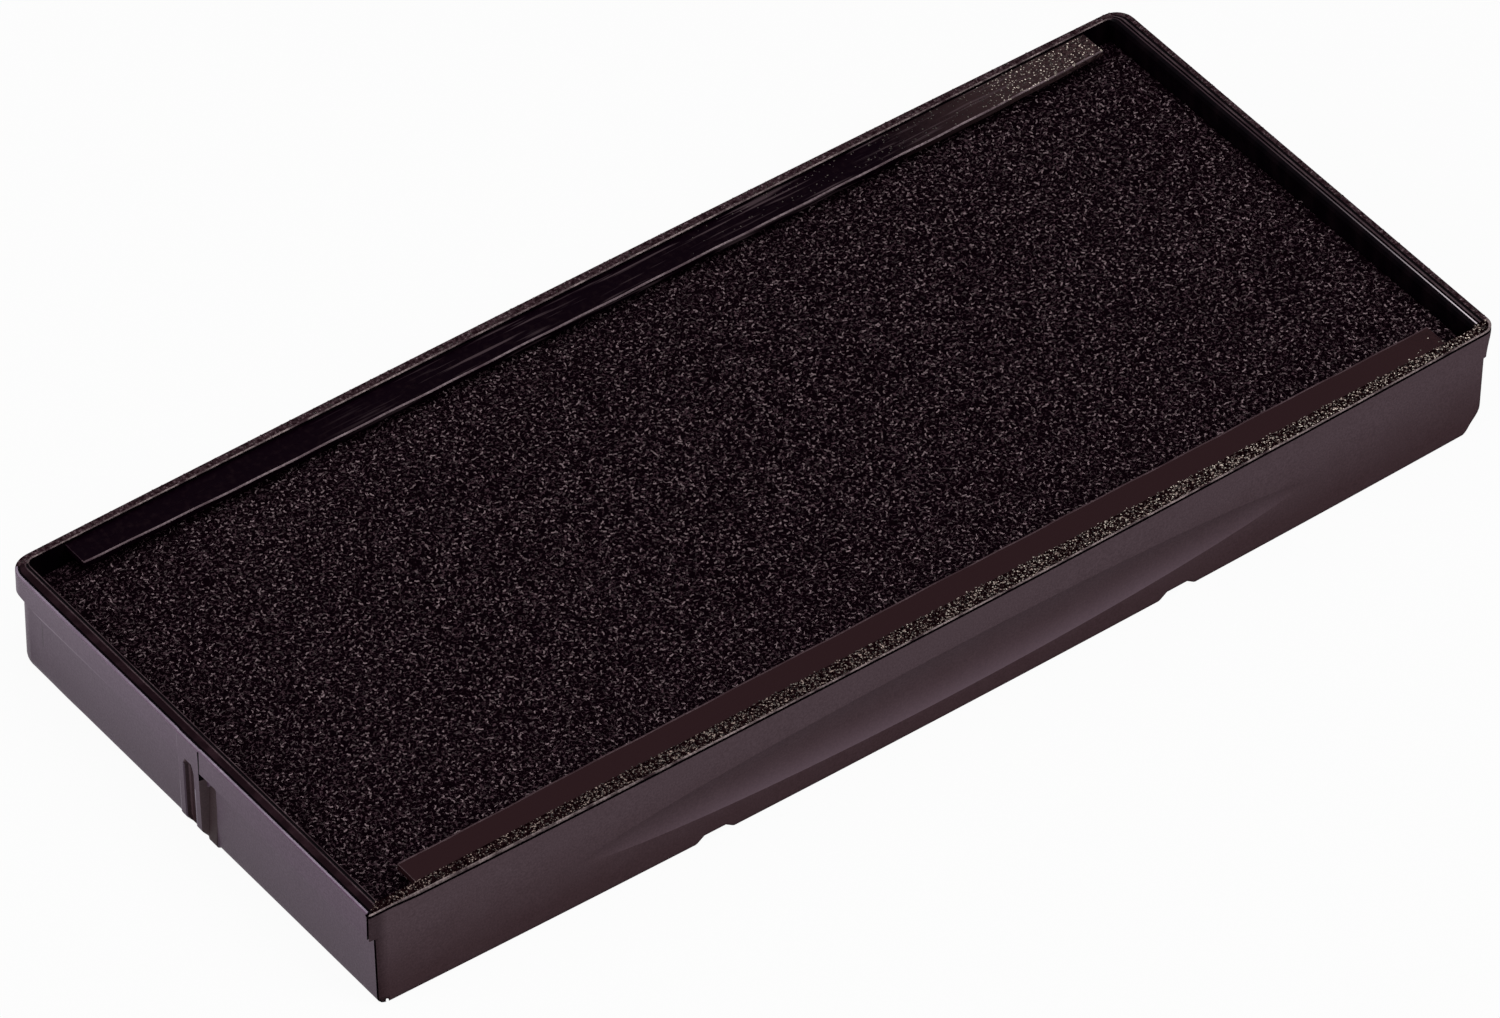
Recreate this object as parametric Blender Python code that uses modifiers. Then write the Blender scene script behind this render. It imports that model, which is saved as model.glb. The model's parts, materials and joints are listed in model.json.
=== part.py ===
"""A replacement ink pad for a self-inking hand stamp, in metres, +Z up.

A shallow black moulded tray holds an ink-soaked foam reservoir, a felt pad and a cover cloth. Two
thin retaining strips, welded on seats inside the long walls, hold the pad's long edges down.
The origin is the centre of the tray's flat bottom. +X runs along the tray, the bowed front wall
is at -Y, and the open side faces +Z.
"""

import math

import bmesh
import bpy
from mathutils import Vector

# Tray, outside
LENGTH = 0.0645  # over the lips of the two end walls
WIDTH = 0.0284  # over the two long walls at the corners
HEIGHT = 0.0060
FRONT_BOW = 0.0004  # how far the front wall bulges at its middle
CORNER_RADIUS = 0.0010
LIP_HEIGHT = 0.0016  # the band that stands proud of each end wall, at the rim
LIP_OVERHANG = 0.00038
LIP_CHAMFER = 0.00015  # the slope under the lip
END_DRAFT = 0.00012  # how far each end wall leans in towards the bottom
SIDE_DRAFT = 0.00015  # how far each long wall leans in towards the bottom
BOTTOM_ROUNDING = 0.00035
RIM_ROUNDING = 0.00012

# Tray, inside
FLOOR = 0.0009
END_WALL = 0.00048  # wall thickness below the lip
FRONT_WALL = 0.0006  # at the corners, where the front wall isn't bowed
REAR_WALL = 0.0004
INNER_RADIUS = 0.0005
END_STEP_WIDTH = 0.0003  # the low step along the inner edge of each end wall's rim
END_STEP_DEPTH = 0.0001
END_STEP_SLOPE = 0.00004  # how much the step falls towards the cavity

# Finger scoop in the front wall
SCOOP_LENGTH = 0.0415
SCOOP_HEIGHT = 0.0030
SCOOP_DEPTH = 0.00032
SCOOP_CENTRE_Z = 0.00265
SCOOP_TAPER = 0.5  # how much tighter its round profile gets towards the two tips
SCOOP_OVERRUN = 1.1  # how far the cut runs on past the tips, as a share of half its length

# Two notches in the front wall's bottom edge
NOTCH_SPACING = 0.0266
NOTCH_WIDTH = 0.0021
NOTCH_HEIGHT = 0.00032
NOTCH_DEPTH = 0.0010
NOTCH_RAMP = 0.00045

# Guide rib with its groove, and the wedge beside it, on the left end wall
RIB_WIDTH = 0.00175
RIB_RISE = 0.00012
RIB_CENTRE_Y = 0.00037
RIB_FOOT = 0.00012  # from the tray's bottom up to the rib
GROOVE_WIDTH = 0.00086
GROOVE_HEIGHT = 0.0039
GROOVE_DEPTH = 0.00022
GROOVE_CENTRE_Y = 0.00045
WEDGE_WIDTH = 0.0014
WEDGE_HEIGHT = 0.0037
WEDGE_SINK = 0.0001  # how deep the wedge's face starts at its top
WEDGE_RISE = 0.00012  # how far it stands proud at the bottom
WEDGE_FOOT = 0.00006  # from the tray's bottom up to the wedge
WEDGE_MARGIN = 0.00007  # how far the cut of the wedge's face runs past its sides

# Retaining strips and their seats
STRIP_LEFT_GAP = 0.00219  # from the cavity's left end to the strips
STRIP_RIGHT_GAP = 0.00159  # from the strips to the cavity's right end
STRIP_REACH = 0.0015  # from the long wall's inner face over the cloth
STRIP_THICKNESS = 0.00035
STRIP_DROP = 0.0002  # from the rim down to the strip's face
STRIP_EDGE_ROUNDING = 0.00008
SEAT_WIDTH = 0.0006
SEAT_END_GAP = 0.0006  # from the strip's end back to its seat's end
SEAT_ROOT = 0.0001  # how far a seat runs into the long wall that it stands on

# Ink-holding layers, from the floor up
FOAM_THICKNESS = 0.0014
CLOTH_THICKNESS = 0.00045
CLOTH_EDGE_DROP = 0.0013  # from the rim to the cloth at the tray's ends
CLOTH_CROWN = 0.0004  # how much higher the cloth lies at its middle
CROWN_SIDE_FALL = 0.25  # the share of the crown that is lost at the long edges
CROWN_FLATNESS = 6  # the power that keeps the crown flat until near the tray's ends
PAD_CORNER_RADIUS = 0.0006
CLEARANCE = 0.00025  # between any two pieces

CORNER_STEPS = 5
BOW_STEPS = 24
EDGE_STEPS = 3
SCOOP_STEPS = 32
SCOOP_PROFILE_STEPS = 28
CROWN_STEPS_X = 28
CROWN_STEPS_Y = 12

# Places that follow from the sizes above
BODY_HALF_LENGTH = LENGTH / 2 - LIP_OVERHANG
LIP_BOTTOM = HEIGHT - LIP_HEIGHT
CAVITY_HALF_LENGTH = BODY_HALF_LENGTH - END_WALL
CAVITY_HALF_WIDTH = (WIDTH - FRONT_WALL - REAR_WALL) / 2
CAVITY_CENTRE_Y = (FRONT_WALL - REAR_WALL) / 2
SEAT_INNER_Y = CAVITY_HALF_WIDTH - SEAT_WIDTH
STRIP_TOP = HEIGHT - STRIP_DROP
STRIP_BOTTOM = STRIP_TOP - STRIP_THICKNESS
STRIP_LENGTH = 2 * CAVITY_HALF_LENGTH - STRIP_LEFT_GAP - STRIP_RIGHT_GAP
STRIP_SHIFT = (STRIP_LEFT_GAP - STRIP_RIGHT_GAP) / 2
SEAT_TOP = STRIP_BOTTOM - CLEARANCE
SEAT_LENGTH = STRIP_LENGTH - 2 * SEAT_END_GAP
PAD_HALF_LENGTH = CAVITY_HALF_LENGTH - CLEARANCE
PAD_EAR_Y = CAVITY_HALF_WIDTH - CLEARANCE
PAD_WAIST_Y = SEAT_INNER_Y - CLEARANCE
WAIST_HALF_LENGTH = SEAT_LENGTH / 2 + CLEARANCE
FOAM_BOTTOM = FLOOR + CLEARANCE
FELT_BOTTOM = FOAM_BOTTOM + FOAM_THICKNESS + CLEARANCE
CLOTH_END_TOP = HEIGHT - CLOTH_EDGE_DROP
FELT_TOP = CLOTH_END_TOP - CLOTH_THICKNESS - CLEARANCE


def new_collection(name):
    """A collection of this name, linked to the scene."""
    collection = bpy.data.collections.new(name)
    bpy.context.scene.collection.children.link(collection)
    return collection


def finish(name, colour, roughness):
    """A Principled material, with no metal in it."""
    material = bpy.data.materials.new(name)
    material.use_nodes = True
    shader = material.node_tree.nodes["Principled BSDF"]
    shader.inputs["Base Color"].default_value = (*colour, 1.0)
    shader.inputs["Roughness"].default_value = roughness
    shader.inputs["Metallic"].default_value = 0
    return material


def add_object(name, shape, collection):
    """An object that holds the bmesh's shape, with its normals facing out."""
    bmesh.ops.recalc_face_normals(shape, faces=shape.faces)
    mesh = bpy.data.meshes.new(name)
    shape.to_mesh(mesh)
    shape.free()
    obj = bpy.data.objects.new(name, mesh)
    collection.objects.link(obj)
    return obj


def cutter(obj):
    """Marks an object as a shape that cuts or joins another, and isn't a piece."""
    obj.hide_render = True
    obj.display_type = "WIRE"
    return obj


def apply_boolean(target, tool, operation):
    """Adds a Boolean modifier that cuts the tool from the target, or joins it on."""
    modifier = target.modifiers.new(tool.name, "BOOLEAN")
    modifier.operation = operation
    modifier.solver = "EXACT"
    modifier.object = tool


def arc(centre, radius, start, end, steps):
    """Points along an arc of a circle in a plane, with the angles in radians."""
    return [
        (
            centre[0] + radius * math.cos(start + (end - start) * i / steps),
            centre[1] + radius * math.sin(start + (end - start) * i / steps),
        )
        for i in range(steps + 1)
    ]


def tray_ring(half_length, half_width, radius, bow, z):
    """A rounded rectangle at height z whose -Y side bulges by the bow, anticlockwise from above."""
    x, y = half_length - radius, half_width - radius
    quarter = math.pi / 2
    front = []
    for i in range(1, BOW_STEPS):
        along = -x + 2 * x * i / BOW_STEPS
        front.append((along, -half_width - bow * (1 - (along / x) ** 2)))
    points = arc((-x, -y), radius, 2 * quarter, 3 * quarter, CORNER_STEPS)
    points += front
    points += arc((x, -y), radius, 3 * quarter, 4 * quarter, CORNER_STEPS)
    points += arc((x, y), radius, 0, quarter, CORNER_STEPS)
    points += arc((-x, y), radius, quarter, 2 * quarter, CORNER_STEPS)
    return [Vector((px, py, z)) for px, py in points]


def loft(rings):
    """A closed solid through rings of equally many points, with a flat cap at each end."""
    shape = bmesh.new()
    loops = [[shape.verts.new(point) for point in ring] for ring in rings]
    for low, high in zip(loops, loops[1:]):
        for i, vertex in enumerate(low):
            after = (i + 1) % len(low)
            shape.faces.new((vertex, low[after], high[after], high[i]))
    shape.faces.new(loops[0][::-1])
    shape.faces.new(loops[-1])
    return shape


def plate(outline, low_z, high_z, axis_order="xyz"):
    """A straight-sided solid of an outline, from low_z to high_z along the order's third axis."""
    places = ["xyz".index(letter) for letter in axis_order]
    rings = []
    for depth in (low_z, high_z):
        ring = []
        for first, second in outline:
            point = Vector((0, 0, 0))
            for place, value in zip(places, (first, second, depth)):
                point[place] = value
            ring.append(point)
        rings.append(ring)
    return loft(rings)


def outer_inset(z):
    """How far the end and long walls lean in at height z, as (end, side)."""
    share = 1 - min(z, LIP_BOTTOM) / LIP_BOTTOM
    return END_DRAFT * share, SIDE_DRAFT * share


def inset_radius(inset):
    """The corner radius of an outline drawn in by an inset, which never closes up to a point."""
    return max(CORNER_RADIUS - inset, CORNER_RADIUS / 4)


def body_ring(z, inset):
    """The tray's outer outline at height z below the lip, drawn in by a rounding's inset."""
    end, side = outer_inset(z)
    half_length = BODY_HALF_LENGTH - end - inset
    half_width = WIDTH / 2 - side - inset
    return tray_ring(half_length, half_width, inset_radius(inset), FRONT_BOW, z)


def lip_ring(z, inset):
    """The rim's outer outline at height z, drawn in by a rounding's inset."""
    return tray_ring(LENGTH / 2 - inset, WIDTH / 2 - inset, inset_radius(inset), FRONT_BOW, z)


def cavity_ring(z, step):
    """The cavity's outline at height z, longer by the step at each end."""
    ring = tray_ring(CAVITY_HALF_LENGTH + step, CAVITY_HALF_WIDTH, INNER_RADIUS, 0, z)
    return [point + Vector((0, CAVITY_CENTRE_Y, 0)) for point in ring]


def tray_shell():
    """The tray's walls and floor as one loft, up the outside and down the inside."""
    rings = []
    for i in range(EDGE_STEPS + 1):
        angle = math.pi / 2 * i / EDGE_STEPS
        inset = BOTTOM_ROUNDING * (1 - math.sin(angle))
        rings.append(body_ring(BOTTOM_ROUNDING * (1 - math.cos(angle)), inset))
    rings.append(body_ring(LIP_BOTTOM - LIP_CHAMFER, 0))
    rings.append(lip_ring(LIP_BOTTOM, 0))
    for i in range(EDGE_STEPS + 1):
        angle = math.pi / 2 * i / EDGE_STEPS
        inset = RIM_ROUNDING * (1 - math.cos(angle))
        rings.append(lip_ring(HEIGHT - RIM_ROUNDING * (1 - math.sin(angle)), inset))
    rings.append(cavity_ring(HEIGHT, END_STEP_WIDTH))
    rings.append(cavity_ring(HEIGHT - END_STEP_DEPTH, END_STEP_WIDTH))
    rings.append(cavity_ring(HEIGHT - END_STEP_DEPTH - END_STEP_SLOPE, 0))
    rings.append(cavity_ring(FLOOR, 0))
    return loft(rings)


def rounded_top(centre, width, low, high):
    """An upright outline with a round top, for the groove and the wedge."""
    radius = width / 2
    points = [(centre - radius, low), (centre + radius, low)]
    points += arc((centre, high - radius), radius, 0, math.pi, 2 * CORNER_STEPS)
    return points


def wall_post(low_y, high_y, sections):
    """An upright post on the left end wall, through sections of (height, outer x, root x)."""
    rings = []
    for z, outer_x, root_x in sections:
        corners = ((outer_x, low_y), (root_x, low_y), (root_x, high_y), (outer_x, high_y))
        rings.append([Vector((x, y, z)) for x, y in corners])
    return loft(rings)


def guide_rib():
    """The upright rib on the left end wall, proud of the lip at the top and of the wall below."""
    end, _ = outer_inset(0)
    top = HEIGHT - RIM_ROUNDING
    low_x = -BODY_HALF_LENGTH + end - RIB_RISE
    high_x = -LENGTH / 2 - RIB_RISE
    root_x = -BODY_HALF_LENGTH + END_WALL / 2
    sections = (
        (RIB_FOOT, low_x, root_x + end),
        (LIP_BOTTOM, low_x + (high_x - low_x) * LIP_BOTTOM / top, root_x),
        (top, high_x, -BODY_HALF_LENGTH - LIP_OVERHANG / 4),
    )
    return wall_post(RIB_CENTRE_Y - RIB_WIDTH / 2, RIB_CENTRE_Y + RIB_WIDTH / 2, sections)


def wedge_centre():
    """Where the wedge lies along Y: against the rib."""
    return RIB_CENTRE_Y - RIB_WIDTH / 2 - WEDGE_WIDTH / 2


def wedge_block():
    """The upright block that the wedge's sloping face is cut from."""
    end, _ = outer_inset(0)
    outer_x = -BODY_HALF_LENGTH + end - 2 * WEDGE_RISE
    root_x = -BODY_HALF_LENGTH + END_WALL / 3
    proud_height = WEDGE_HEIGHT * WEDGE_RISE / (WEDGE_RISE + WEDGE_SINK)
    sections = (
        (WEDGE_FOOT, outer_x, root_x + end),
        (proud_height, outer_x, root_x),
    )
    low_y = wedge_centre() - WEDGE_WIDTH / 2
    high_y = wedge_centre() + WEDGE_WIDTH / 2 + WEDGE_MARGIN / 2
    return wall_post(low_y, high_y, sections)


def wedge_face():
    """The round-topped cut that slopes the wedge's face, sunk at its top and proud at the bottom."""
    end, _ = outer_inset(0)
    width = WEDGE_WIDTH + 2 * WEDGE_MARGIN
    outline = rounded_top(wedge_centre(), width, -BOTTOM_ROUNDING, WEDGE_HEIGHT)
    outer, inner = [], []
    for y, z in outline:
        wall_x = -BODY_HALF_LENGTH + end * (1 - z / LIP_BOTTOM)
        sloped_x = wall_x - WEDGE_RISE + (WEDGE_RISE + WEDGE_SINK) * z / WEDGE_HEIGHT
        outer.append(Vector((-LENGTH, y, z)))
        inner.append(Vector((sloped_x, y, z)))
    return loft([outer, inner])


def groove():
    """The round-topped groove down the rib, open at the bottom."""
    outline = rounded_top(GROOVE_CENTRE_Y, GROOVE_WIDTH, -HEIGHT, GROOVE_HEIGHT)
    deep_x = -BODY_HALF_LENGTH + GROOVE_DEPTH
    return plate(outline, -LENGTH, deep_x, "yzx")


def scoop():
    """The long finger scoop: a round profile that sinks into the bowed wall and runs out to tips."""
    half_length = SCOOP_LENGTH / 2
    wall_fall = FRONT_BOW * (half_length / (BODY_HALF_LENGTH - CORNER_RADIUS)) ** 2
    middle_radius = ((SCOOP_HEIGHT / 2) ** 2 + SCOOP_DEPTH**2) / (2 * SCOOP_DEPTH)
    rings = []
    for i in range(SCOOP_STEPS + 1):
        share = SCOOP_OVERRUN * (2 * i / SCOOP_STEPS - 1)
        deepest_y = -WIDTH / 2 - FRONT_BOW + SCOOP_DEPTH - (SCOOP_DEPTH - wall_fall) * share**2
        radius = middle_radius * (1 - SCOOP_TAPER * share**2)
        ring = []
        for j in range(SCOOP_PROFILE_STEPS):
            around = 2 * math.pi * j / SCOOP_PROFILE_STEPS
            y = deepest_y - radius + radius * math.cos(around)
            z = SCOOP_CENTRE_Z + radius * math.sin(around)
            ring.append(Vector((half_length * share, y, z)))
        rings.append(ring)
    return loft(rings)


def notch(centre_x):
    """A shallow ramped notch through the front wall's bottom edge."""
    half = NOTCH_WIDTH / 2
    outline = (
        (centre_x - half - NOTCH_RAMP, -NOTCH_HEIGHT),
        (centre_x + half + NOTCH_RAMP, -NOTCH_HEIGHT),
        (centre_x + half - NOTCH_RAMP, NOTCH_HEIGHT),
        (centre_x - half + NOTCH_RAMP, NOTCH_HEIGHT),
    )
    inner_y = -WIDTH / 2 + NOTCH_DEPTH
    return plate(outline, -WIDTH, inner_y, "xzy")


def strip_seat(side):
    """The shelf inside a long wall that a retaining strip is welded on."""
    inner_y = CAVITY_CENTRE_Y + side * SEAT_INNER_Y
    outer_y = CAVITY_CENTRE_Y + side * (CAVITY_HALF_WIDTH + SEAT_ROOT)
    half = SEAT_LENGTH / 2
    outline = (
        (STRIP_SHIFT - half, inner_y),
        (STRIP_SHIFT + half, inner_y),
        (STRIP_SHIFT + half, outer_y),
        (STRIP_SHIFT - half, outer_y),
    )
    return plate(outline, FLOOR / 2, SEAT_TOP)


def build_tray(parts, tools):
    """The moulded tray, with everything that is joined to it or cut from it."""
    tray = add_object("tray", tray_shell(), parts)
    steps = (
        ("front_strip_seat", strip_seat(-1), "UNION"),
        ("rear_strip_seat", strip_seat(1), "UNION"),
        ("wedge_block", wedge_block(), "UNION"),
        ("wedge_face", wedge_face(), "DIFFERENCE"),
        ("guide_rib", guide_rib(), "UNION"),
        ("rib_groove", groove(), "DIFFERENCE"),
        ("finger_scoop", scoop(), "DIFFERENCE"),
        ("left_notch", notch(-NOTCH_SPACING / 2), "DIFFERENCE"),
        ("right_notch", notch(NOTCH_SPACING / 2), "DIFFERENCE"),
    )
    for name, shape, operation in steps:
        apply_boolean(tray, cutter(add_object(name, shape, tools)), operation)
    tray.data.materials.append(finish("tray_plastic", (0.020, 0.014, 0.017), 0.42))


def build_strip(name, side, parts):
    """A flat retaining strip over the pad's edge, against one long wall."""
    outer_y = CAVITY_HALF_WIDTH - CLEARANCE / 2
    inner_y = CAVITY_HALF_WIDTH - STRIP_REACH
    shape = bmesh.new()
    bmesh.ops.create_cube(shape, size=1)
    size = Vector((STRIP_LENGTH, outer_y - inner_y, STRIP_THICKNESS))
    bmesh.ops.scale(shape, vec=size, verts=shape.verts)
    middle_y = CAVITY_CENTRE_Y + side * (outer_y + inner_y) / 2
    middle = Vector((STRIP_SHIFT, middle_y, STRIP_BOTTOM + STRIP_THICKNESS / 2))
    bmesh.ops.translate(shape, vec=middle, verts=shape.verts)
    strip = add_object(name, shape, parts)
    bevel = strip.modifiers.new("edge_rounding", "BEVEL")
    bevel.width = STRIP_EDGE_ROUNDING
    bevel.segments = 2
    strip.data.materials.append(finish(f"{name}_plastic", (0.012, 0.008, 0.010), 0.35))


def pad_outline():
    """The die-cut outline of the ink layers: a rectangle drawn in beside the two strip seats."""
    left = STRIP_SHIFT - WAIST_HALF_LENGTH
    right = STRIP_SHIFT + WAIST_HALF_LENGTH
    x, ear, waist = PAD_HALF_LENGTH, PAD_EAR_Y, PAD_WAIST_Y
    radius = PAD_CORNER_RADIUS
    quarter = math.pi / 2
    points = arc((-x + radius, -ear + radius), radius, 2 * quarter, 3 * quarter, CORNER_STEPS)
    points += [(left, -ear), (left, -waist), (right, -waist), (right, -ear)]
    points += arc((x - radius, -ear + radius), radius, 3 * quarter, 4 * quarter, CORNER_STEPS)
    points += arc((x - radius, ear - radius), radius, 0, quarter, CORNER_STEPS)
    points += [(right, ear), (right, waist), (left, waist), (left, ear)]
    points += arc((-x + radius, ear - radius), radius, quarter, 2 * quarter, CORNER_STEPS)
    return [(px, py + CAVITY_CENTRE_Y) for px, py in points]


def build_layer(name, low_z, high_z, material, parts):
    """A flat ink-holding layer of the pad's outline."""
    layer = add_object(name, plate(pad_outline(), low_z, high_z), parts)
    layer.data.materials.append(material)


def crown_height(x, y):
    """How far the cloth's face stands above its height at the tray's ends."""
    along = 1 - (x / PAD_HALF_LENGTH) ** CROWN_FLATNESS
    across = 1 - CROWN_SIDE_FALL * (y / PAD_EAR_Y) ** 2
    return CLOTH_CROWN * along * across


def between(low, high, steps):
    """Evenly spaced values from low to high, both included."""
    return [low + (high - low) * i / steps for i in range(steps + 1)]


def build_cloth(parts):
    """The cover cloth: a crowned sheet with a short ear at each corner."""
    left = STRIP_SHIFT - WAIST_HALF_LENGTH
    right = STRIP_SHIFT + WAIST_HALF_LENGTH
    columns = [-PAD_HALF_LENGTH, (left - PAD_HALF_LENGTH) / 2]
    columns += between(left, right, CROWN_STEPS_X)
    columns += [(right + PAD_HALF_LENGTH) / 2, PAD_HALF_LENGTH]
    rows = [-PAD_EAR_Y, *between(-PAD_WAIST_Y, PAD_WAIST_Y, CROWN_STEPS_Y), PAD_EAR_Y]
    shape = bmesh.new()
    grid = []
    for x in columns:
        heights = [CLOTH_END_TOP + crown_height(x, y) for y in rows]
        grid.append([shape.verts.new((x, y + CAVITY_CENTRE_Y, z)) for y, z in zip(rows, heights)])
    ears = (0, 1, len(columns) - 3, len(columns) - 2)
    for i in range(len(columns) - 1):
        for j in range(len(rows) - 1):
            if j in (0, len(rows) - 2) and i not in ears:
                continue
            corners = (grid[i][j], grid[i + 1][j], grid[i + 1][j + 1], grid[i][j + 1])
            shape.faces.new(corners)
    loose = [vertex for vertex in shape.verts if not vertex.link_faces]
    bmesh.ops.delete(shape, geom=loose, context="VERTS")
    cloth = add_object("cover_cloth", shape, parts)
    wall = cloth.modifiers.new("thickness", "SOLIDIFY")
    wall.thickness = CLOTH_THICKNESS
    wall.offset = -1
    cloth.data.materials.append(finish("cover_cloth_weave", (0.010, 0.007, 0.010), 0.85))


def main():
    """Builds the whole ink pad."""
    for old in list(bpy.data.objects):
        bpy.data.objects.remove(old)
    parts = new_collection("ink_pad")
    tools = new_collection("cutters")
    build_tray(parts, tools)
    build_strip("front_retaining_strip", -1, parts)
    build_strip("rear_retaining_strip", 1, parts)
    foam = finish("ink_foam", (0.018, 0.015, 0.020), 0.9)
    build_layer("ink_reservoir_foam", FOAM_BOTTOM, FOAM_BOTTOM + FOAM_THICKNESS, foam, parts)
    felt = finish("ink_felt", (0.014, 0.011, 0.015), 0.95)
    build_layer("felt_pad", FELT_BOTTOM, FELT_TOP, felt, parts)
    build_cloth(parts)


main()
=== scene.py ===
"""The looks of a replacement ink pad for a self-inking hand stamp, in metres, +Z up.

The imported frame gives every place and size. The moulded tray is rebuilt as a fine shell, with its
rim's ridges, finger scoop, notches, guide rib and wedge. The retaining strips, the cover cloth with
its curly pile and the two ink layers below it are built to the solids that they replace.
"""

from __future__ import annotations

import json
import logging
import math
from collections.abc import Callable, Iterable, Sequence
from dataclasses import dataclass, field
from enum import Enum

import bmesh
import bpy
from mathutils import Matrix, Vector

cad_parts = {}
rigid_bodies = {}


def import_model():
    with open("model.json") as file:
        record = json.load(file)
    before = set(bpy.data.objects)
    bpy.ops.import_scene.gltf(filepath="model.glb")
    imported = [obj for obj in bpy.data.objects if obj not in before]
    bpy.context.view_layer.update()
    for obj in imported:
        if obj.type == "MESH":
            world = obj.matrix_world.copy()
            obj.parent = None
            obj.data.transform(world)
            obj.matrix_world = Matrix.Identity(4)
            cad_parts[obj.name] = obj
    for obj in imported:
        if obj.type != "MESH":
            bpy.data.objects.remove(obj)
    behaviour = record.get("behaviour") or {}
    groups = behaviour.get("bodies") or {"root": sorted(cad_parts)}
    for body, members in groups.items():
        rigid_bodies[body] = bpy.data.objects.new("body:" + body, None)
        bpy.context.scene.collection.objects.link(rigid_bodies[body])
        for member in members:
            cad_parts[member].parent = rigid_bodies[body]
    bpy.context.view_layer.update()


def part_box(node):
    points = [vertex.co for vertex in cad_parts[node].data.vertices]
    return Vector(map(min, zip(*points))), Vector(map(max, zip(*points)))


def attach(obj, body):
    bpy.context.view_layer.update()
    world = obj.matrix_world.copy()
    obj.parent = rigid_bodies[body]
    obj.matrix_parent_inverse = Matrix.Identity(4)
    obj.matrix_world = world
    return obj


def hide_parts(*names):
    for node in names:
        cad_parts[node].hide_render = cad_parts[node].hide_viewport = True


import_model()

log = logging.getLogger("ink_pad")

MM = 0.001
BODY = "root"
TONE = "tone"
ROUGH = "rough"
LIT = "lit"
HAIR = 1e-6
Point = tuple[float, float, float]
Colour = tuple[float, float, float]
Specks = tuple[float, float]
BARE: Specks = (0.0, 0.0)


def srgb(red: int, green: int, blue: int) -> Colour:
    """A linear colour from display levels.

    Args:
        red: The red level, from 0 to 255.
        green: The green level.
        blue: The blue level.

    Returns:
        The colour's three linear parts.
    """

    def linear(level: int) -> float:
        """One part, by the display's curve."""
        share = level / 255
        return share / 12.92 if share <= 0.04045 else ((share + 0.055) / 1.055) ** 2.4

    return linear(red), linear(green), linear(blue)


def clamp(value: float, low: float = 0.0, high: float = 1.0) -> float:
    """The value, held between low and high."""
    return max(low, min(high, value))


def smooth_step(low: float, high: float, value: float) -> float:
    """0 below low, 1 above high and a smooth rise between them."""
    share = clamp((value - low) / (high - low))
    return share * share * (3 - 2 * share)


@dataclass(frozen=True)
class Ramp:
    """A smooth rise from 0 at its start to 1 at its end, which may lie below the start."""

    start: float
    end: float

    def at(self, value: float) -> float:
        """How far up the rise the value is."""
        return smooth_step(self.start, self.end, value)


def add_object(name: str, data: bpy.types.ID) -> bpy.types.Object:
    """Puts a new object in the scene.

    Args:
        name: The object's name.
        data: Its mesh, lamp or camera.

    Returns:
        The object.
    """
    made = bpy.data.objects.new(name, data)
    bpy.context.scene.collection.objects.link(made)
    return made


# ------------------------------
# Node trees
# ------------------------------


class Wire:
    """A node's output, with the arithmetic that the patterns are written in."""

    def __init__(self, tree: NodeTree, socket: bpy.types.NodeSocket) -> None:
        """Keeps the tree that the socket belongs to, so that maths can add nodes to it."""
        self.tree = tree
        self.socket = socket

    def maths(self, operation: str, *others: Wire | float, swapped: bool = False) -> Wire:
        """A Math node on this value.

        Args:
            operation: The Math node's operation.
            others: The second and third operands.
            swapped: True where this value is the second operand.

        Returns:
            The node's result.
        """
        operands = [self, *others]
        if swapped:
            operands.reverse()
        settings = {"operation": operation}
        return self.tree.node("ShaderNodeMath", settings, dict(enumerate(operands)))

    def __add__(self, other: Wire | float) -> Wire:
        """The sum."""
        return self.maths("ADD", other)

    __radd__ = __add__

    def __mul__(self, other: Wire | float) -> Wire:
        """The product."""
        return self.maths("MULTIPLY", other)

    __rmul__ = __mul__

    def __sub__(self, other: Wire | float) -> Wire:
        """The difference."""
        return self.maths("SUBTRACT", other)

    def __rsub__(self, other: float) -> Wire:
        """The difference from a number."""
        return self.maths("SUBTRACT", other, swapped=True)

    def __truediv__(self, other: Wire | float) -> Wire:
        """The quotient."""
        return self.maths("DIVIDE", other)

    def __pow__(self, power: float) -> Wire:
        """The power."""
        return self.maths("POWER", power)

    def __abs__(self) -> Wire:
        """The size without its sign."""
        return self.maths("ABSOLUTE")

    def over(self, limit: float) -> Wire:
        """1 where the value is over the limit, and 0 elsewhere."""
        return self.maths("GREATER_THAN", limit)

    def between(self, low: float, high: float) -> Wire:
        """0 at low, 1 at high, and held there past them."""
        inputs = {"Value": self, "From Min": low, "From Max": high}
        return self.tree.node("ShaderNodeMapRange", {"clamp": True}, inputs)


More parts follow.
